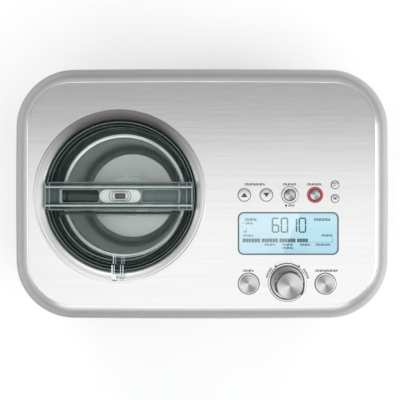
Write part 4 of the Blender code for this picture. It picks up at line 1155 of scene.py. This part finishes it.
def make_hatch():
    low = lowest("lid_flap").z
    hatch = softened(half_disc(70.0, HINGE[0] - 3.8, low, low + 2.0), 0.4)
    leaf = block((-60, HINGE[0] - 5, low), (60, HINGE[0] - 0.5, low + 2.0))
    barrel = rod_along_x(2.4, 60.0)
    over = FASCIA + 1.8
    web = [(-62.0, low + 0.4), (-73.2, low + 0.4), (-75.2, low + 5.6), (-85.5, over), (-85.5, over + 1.3),
           (-73.4, over + 0.6), (-71.4, over - 1.2), (-69.0, low + 2.2), (-62.0, low + 1.9)]
    rail = [(-62.0, low + 0.4), (-73.2, low + 0.4), (-75.2, low + 5.6), (-88.0, over), (-89.0, over + 1.0),
            (-88.2, over + 2.4), (-73.0, over + 2.4), (-70.4, over + 0.6), (-67.4, low + 2.8),
            (-62.0, low + 2.0)]
    parts = [leaf, barrel]
    for outline, wide, x in ((web, 8.0, -4.0), (rail, 3.6, -6.4), (rail, 3.6, 2.8)):
        bar = softened(outlined(outline, wide), 0.5, angle=25.0)
        shifted(bar, 0.0, 0.0, x)
        laid(bar, UPRIGHT_FROM_X)
        parts.append(shifted(bar, -1.8, 0.0))
    hatch = carved(hatch, *parts, way="UNION")
    hatch = carved(hatch, rod_along_x(1.5, 70.0))
    piece("hinged_hatch", hatch, "flap", "clear_lid", ["lid_flap"], WELL)
    # painted highlight along the hatch's round edge
    edge = half_disc(70.0, HINGE[0] - 4.6, low + 1.98, low + 2.2)
    edge = carved(edge, half_disc(69.1, HINGE[0] - 3.0, low, low + 4.0))
    clear_line("hatch_edge_line", edge, EDGE_LINE, "flap")
    # painted highlights along the tab's rails
    rail_tops = ((-8.2, -6.9, 87.9), (-5.6, -4.9, 87.4), (3.7, 4.4, 87.2), (1.2, 1.8, 86.0))
    strips = [block((x0, -y0, over + 2.3), (x1, -73.5, over + 2.6), 0.1) for x0, x1, y0 in rail_tops]
    strips += [block((x0, -73.0, low + 2.1), (x1, -62.0, low + 2.5), 0.1)
               for x0, x1 in ((-8.0, -6.9), (-5.4, -4.9), (1.2, 1.8), (3.6, 4.3))]
    strips.append(block((-7.6, -88.4, over + 2.3), (-3.2, -83.0, over + 2.75), 0.6))
    clear_line("tab_edge_lines", merged(*strips), TAB_GLINT, "flap")


make_lid()
make_handle()
make_channel()
make_rail_lines()
make_grip_ends()
make_grip_plate()
make_hatch()

# %% [markdown]
# ## Buttons and rings
# Small turned caps drop into holes in the fascia, each with a hairline gap round it. Some stand in a
# ring: pale round the first cooling button, red round the second. The two large ones have a pale lip
# round a spun face. Printed signs sit on the plain caps and ride down with them.

# %% Buttons and rings


def cap_profile(radius, top):
    return [(0, top), (radius * 0.6, top - 0.04), (radius - 0.9, top - 0.10), (radius - 0.25, top - 0.30),
            (radius, top - 0.75), (radius, FASCIA - 4.0), (2.4, FASCIA - 4.0), (2.4, 231.0), (0, 231.0)]


def make_buttons():
    for name, place in BUTTONS.items():
        radius, top = CAP_R[name], highest(name).z
        large = radius > 8.0
        look = CAP_RIM if not large and name not in RING_R else FINISHES["spun_button"]
        cap = spun(cap_profile(radius, top), 64)
        piece(name.replace("_button", "_cap"), cap, name, "spun_button", [name], place, look)
        if large:
            lip = [(radius - 1.3, top - 0.2), (radius - 0.1, top - 0.45), (radius - 0.1, top - 0.05),
                   (radius - 0.7, top + 0.15), (radius - 1.3, top + 0.05)]
            lip = spun(lip, 72, 0.12)
            piece(name.replace("_button", "_lip"), lip, name, "spun_button", (), place, CAP_RIM)
        if name != "keepcool_button":
            edge = RING_R.get(name, radius) + 0.08
            gap = band(edge, edge + (0.7 if large else 0.55), FASCIA + 0.01, FASCIA + 0.12)
            sign(name.replace("_button", "_outline"), gap, place, look=OUTLINE)


def make_rings():
    for name, ring in RING_R.items():
        inner = CAP_R[name] + 0.35
        profile = [(inner, FASCIA - 2.0), (ring - 1.5, FASCIA - 2.0), (ring - 1.5, FASCIA + 0.3),
                   (ring, FASCIA + 0.3), (ring - 0.1, FASCIA + 0.65), (ring - 0.6, FASCIA + 0.9),
                   (inner + 0.5, FASCIA + 0.9), (inner, FASCIA + 0.4)]
        red = name == "keepcool_button"
        piece(name.replace("_button", "_bezel"), spun(profile, 72, 0.15), "housing",
              "red_ring" if red else "spun_button", [RINGS[name]], BUTTONS[name],
              FINISHES["red_ring"] if red else CAP_RIM)


make_buttons()
make_rings()

# %% [markdown]
# ## The dial
# The dial is a solid turned knob in a shallow dish. Its top is faced on the lathe and its shoulder is a
# narrow polished chamfer, which mirrors the dark of the room in broken arcs. Those arcs are a painted
# reflection, thin bands in the dark print ink, and the darker skirt below them is painted shade, a thin
# turned sleeve.

# %% Dial


def arc_band(inner, outer, start, end, low, high, steps=24):
    """A piece of a flat ring between two angles in degrees."""
    bm = bmesh.new()
    corners = [(inner, low), (outer, low), (outer, high), (inner, high)]
    face = bm.faces.new([bm.verts.new((r, 0.0, z)) for r, z in corners])
    laid(bm, Matrix.Rotation(math.radians(start), 4, "Z"))
    bmesh.ops.spin(bm, geom=[face], cent=(0, 0, 0), axis=(0, 0, 1), angle=math.radians(end - start),
                   steps=steps)
    bmesh.ops.recalc_face_normals(bm, faces=bm.faces)
    return bm


def make_dial():
    dish = [(20.1, FASCIA + 0.3), (19.9, FASCIA + 0.8), (19.2, FASCIA + 1.1), (18.4, FASCIA + 0.9),
            (17.2, FASCIA - 0.8), (3.8, FASCIA - 1.0), (3.8, FASCIA - 2.6), (18.1, FASCIA - 2.6),
            (18.1, FASCIA + 0.3)]
    piece("dial_plate", spun(dish, 96, 0.3), "housing", "spun_collar", ["dial_dish"], DIAL)
    sign("dial_outline", band(20.15, 20.55, FASCIA + 0.01, FASCIA + 0.1, 96), DIAL, look=OUTLINE)
    low, top = lowest("control_knob").z, highest("control_knob").z
    knob = [(0, top - 0.25), (6.0, top - 0.18), (12.4, top), (13.1, top - 0.1), (14.0, top - 1.3),
            (15.3, low + 3.4), (15.0, low + 2.8), (15.0, low + 2.2), (15.4, low + 1.6), (15.4, low),
            (3.4, low), (3.4, 256.0), (0, 256.0)]
    piece("turned_knob", spun(knob, 96, 0.25), "knob", "spun_button", ["control_knob"], DIAL)
    # a sleeve in the darker metal on the knob's side: painted shade
    skirt = [(14.15, top - 1.45), (15.42, low + 3.4), (15.42, low + 2.9), (15.0, low + 3.2), (13.7, top - 1.6)]
    piece("knob_skirt", spun(skirt, 96), "knob", "spun_button", (), DIAL, KNOB_SKIRT_SHADE)
    # painted reflection: dark arcs in the print ink on the chamfer
    arcs = [arc_band(13.75, 15.3, start, end, top - 1.5, top - 1.0)
            for start, end in ((58, 128), (162, 208), (-40, 12))]
    piece("knob_chamfer_arcs", merged(*arcs), "knob", "spun_button", (), DIAL, INK)


make_dial()

# %% [markdown]
# ## The display
# Behind the glass sit a slim dark frame and the pale panel. The segments are printed in the panel, so
# each is a plate a few hundredths of a millimetre thick. The readout is four seven-stroke digits. Small
# words are left as rows of letter-sized marks that spell nothing, and a time scale runs below them.

# %% Display
PRINT_THICK = 0.06


def bar(x0, y0, x1, y1, low):
    return block((x0, y0, low), (x1, y1, low + PRINT_THICK))


LETTER_PITCH = 1.75
SERIF = 0.6


def word(x0, x1, y0, y1, low):
    """A printed line too small to read: marks a letter apart, each an upright with a foot, a cap or both."""
    count = max(2, round((x1 - x0) / LETTER_PITCH))
    step = (x1 - x0) / count
    thin, wide = step * 0.38, step * 0.86
    marks = []
    for i in range(count):
        start = x0 + step * i
        marks.append(bar(start, y0, start + thin, y1, low))
        if i % 3 != 1:
            marks.append(bar(start + thin, y0, start + wide, y0 + SERIF, low))
        if i % 3 != 2:
            marks.append(bar(start + thin, y1 - SERIF, start + wide, y1, low))
        if i % 2:
            marks.append(bar(start + wide - thin, y0 + SERIF, start + wide, y1 - SERIF, low))
    return merged(*marks)


STROKES = {"top": (0, 1, 1, 1), "middle": (0, 0.5, 1, 0.5), "bottom": (0, 0, 1, 0),
           "upper_left": (0, 0.5, 0, 1), "upper_right": (1, 0.5, 1, 1),
           "lower_left": (0, 0, 0, 0.5), "lower_right": (1, 0, 1, 0.5)}
DIGITS = {"0": "top bottom upper_left upper_right lower_left lower_right", "1": "upper_right lower_right",
          "6": "top middle bottom upper_left lower_left lower_right"}
STROKE = 1.5
STROKE_GAP = 0.35


def digit(mark, x, y, wide, tall, low):
    parts = []
    for name in DIGITS[mark].split():
        x0, y0, x1, y1 = STROKES[name]
        across = x0 != x1
        grow_x, grow_y = (-STROKE_GAP, STROKE / 2) if across else (STROKE / 2, -STROKE_GAP)
        parts.append(bar(x + x0 * wide - grow_x, y + y0 * tall - grow_y,
                         x + x1 * wide + grow_x, y + y1 * tall + grow_y, low))
    return merged(*parts)


# %% Display, measured from the middle of its window
WORDS = [(-46.1, -33.3, 13.5, 16.2), (-45.6, -37.9, 9.8, 11.8), (-48.2, -37.4, -3.2, -1.2),
         (35.7, 47.4, -3.2, -1.0), (27.5, 44.9, 13.5, 16.2), (-25.2, -13.9, -13.1, -10.9),
         (-6.2, 5.2, -13.1, -10.9), (-6.2, 5.2, -16.5, -14.5), (12.7, 23.4, -13.1, -10.9),
         (29.5, 45.4, -13.1, -10.9)]
DOTS_AND_RULES = [(-48.7, 10.3, -47.6, 11.3), (-48.5, 6.2, -47.8, 6.9), (-45.3, 1.7, -44.7, 5.5),
                  (-48.1, 1.2, -45.0, 2.3), (-48.7, -9.5, 8.1, -9.25), (9.6, -9.5, 27.5, -9.25),
                  (28.9, -9.5, 47.4, -9.25), (47.1, -9.3, 47.4, -3.9)]
SCALE_RUNS = [(-48.7, -29.8, 6), (-28.2, -10.8, 6), (-9.3, 8.1, 6), (9.6, 21.4, 4)]


def make_display():
    low, top = lowest("display_window").z, highest("display_window").z
    face = top - 0.2
    outer = softened(pulled(rounded(53.6, 22.6, 6.2, low, 10), top - low), 0.2)
    inner = pulled(rounded(52.6, 21.6, 5.2, low - 2.0, 10), 8.0)
    piece("display_frame", carved(outer, inner), "housing", "dark_plastic", (), DISPLAY, FRAME_LOOK)
    pane = softened(pulled(rounded(52.5, 21.5, 5.1, low, 10), face - low), 0.15)
    piece("display_pane", pane, "housing", "display_glass", ["display_window"], DISPLAY)
    marks = [digit(mark, 9.6 * i - 16.9, 1.5, 6.6, 14.8, face) for i, mark in enumerate("6010")]
    marks += [word(*line, face) for line in WORDS]
    marks += [bar(*line, face) for line in DOTS_AND_RULES]
    for start, end, count in SCALE_RUNS:
        step = (end - start) / count
        marks += [bar(start + step * i, -9.1, start + step * (i + 0.86), -5.4, face) for i in range(count)]
    piece("display_segments", merged(*marks), "housing", "display_glass", (), DISPLAY, SEGMENTS_LOOK)


make_display()

# %% [markdown]
# ## Print on the fascia
# The maker screens small signs beside each control. Words are rows of marks that spell nothing; the
# arrows, the padlock and the turning marks round the dial are plain signs. Each group is one thin mesh,
# placed from the control that it names, so that it stays beside it.

# %% Fascia print
PRINT = FASCIA + 0.01


def arrowhead(half, tall, low):
    """A solid arrowhead; a negative height points it down."""
    bm = bmesh.new()
    corners = ((-half, -tall / 2), (half, -tall / 2), (0, tall / 2))
    bm.faces.new([bm.verts.new((x, y, low)) for x, y in corners])
    return pulled(bm, PRINT_THICK)


def arc(inner, outer, start, end, low, steps):
    return arc_band(inner, outer, start, end, low, low + PRINT_THICK, steps)


def padlock(x, y):
    body = bar(x - 1.1, y - 1.4, x + 1.1, y + 0.3, PRINT)
    return merged(body, shifted(arc(0.5, 0.95, 0, 180, PRINT, 10), x, y + 0.3))


def turned_dashes(radius, start, end, count):
    """Letter-sized dashes that stand round the dial."""
    step = (end - start) / count
    return [arc(radius, radius + 2.2, start + step * i, start + step * (i + 0.6), PRINT, 3)
            for i in range(count)]


SIGNS = {"timer_sign": ("up_button", 0.4, 22.1, 10.1, 12.4),
         "precool_sign": ("precool_button", -7.4, 6.9, 10.1, 12.4),
         "keepcool_sign": ("keepcool_button", -8.4, 7.5, 10.1, 12.4),
         "hold_sign": ("precool_button", -1.6, 4.8, -12.4, -10.2),
         "power_sign": ("power_button", -5.7, 5.4, 12.7, 15.0),
         "start_sign": ("start_button", -10.8, 13.3, 12.7, 15.0)}


def make_print():
    for name, (button, *line) in SIGNS.items():
        printed = word(*line, PRINT)
        if name == "hold_sign":
            printed = merged(padlock(-4.0, -11.2), printed)
        sign(name, printed, BUTTONS[button])
    marks = [arc(20.6, 21.1, 57, 123, PRINT, 24)]
    for side in (-1, 1):
        head = laid(arrowhead(1.4, 2.6, PRINT), Matrix.Rotation(-side * math.radians(125), 4, "Z"))
        marks.append(shifted(head, side * 12.8, 17.3))
    marks += turned_dashes(21.6, 138, 168, 6) + turned_dashes(21.6, 12, 42, 6)
    sign("dial_sign", merged(*marks), DIAL)


def make_cap_signs():
    for name, way in (("up_button", 1), ("down_button", -1)):
        arrow = arrowhead(3.5, 4.8 * way, highest(name).z)
        sign(name.replace("_button", "_arrow"), arrow, BUTTONS[name], name)
    top = highest("volume_button").z
    horn = laid(arrowhead(1.7, 2.2, top), Matrix.Rotation(math.pi / 2, 4, "Z"))
    wave = arc(1.5, 1.9, -40, 40, top, 8)
    speaker = merged(shifted(horn, -0.2, 0.0), bar(-1.9, -0.7, -0.6, 0.7, top), wave)
    sign("volume_sign", speaker, BUTTONS["volume_button"], "volume_button")
    top = highest("unit_button").z
    scales = []
    for dot_y, bar_y, tall in ((1.3, 0.9, 0.5), (-1.0, -1.4, 0.5)):
        scales += [shifted(arc(0.35, 0.75, 0, 360, top, 16), -1.3, dot_y),
                   bar(-0.5, bar_y, 1.5, bar_y + tall, top)]
    sign("unit_sign", merged(*scales), BUTTONS["unit_button"], "unit_button")


make_print()
make_cap_signs()

# %% [markdown]
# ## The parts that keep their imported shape
# Grilles, gears, motor, compressor, pipes and boards are already the right shape. Each takes the finish
# that its record names, so the inside is dressed too when the bowl is lifted out.

# %% Finishes for the frame's own nodes


def dress_frame():
    slots = {part["node"]: part["material_slot"] for part in frame["record"]["subparts"]}
    for name, node in frame["nodes"].items():
        if node.hide_render:
            continue
        for held in node.material_slots:
            held.material = DARK_PIN if name == "flap_hinge_pin" else FINISHES[slots[name]]
    print("dressed", sum(not n.hide_render for n in frame["nodes"].values()), "frame nodes")


def make_floor():
    bm = bmesh.new()
    bmesh.ops.create_grid(bm, x_segments=8, y_segments=8, size=4.0)
    mesh = bpy.data.meshes.new("pale_sweep")
    bm.to_mesh(mesh)
    bm.free()
    look = Look("pale_sweep")
    tone = look.noise(look.place(), 1.5, 2.0)
    mesh.materials.append(look.wear(base=look.ramp(tone, (0.2, grey(0.93)), (0.8, grey(0.95))),
                                    roughness=tone * 0.1 + 0.7))
    floor = bpy.data.objects.new("pale_sweep", mesh)
    floor.location.z = -0.0005
    bpy.context.scene.collection.objects.link(floor)


dress_frame()
make_floor()
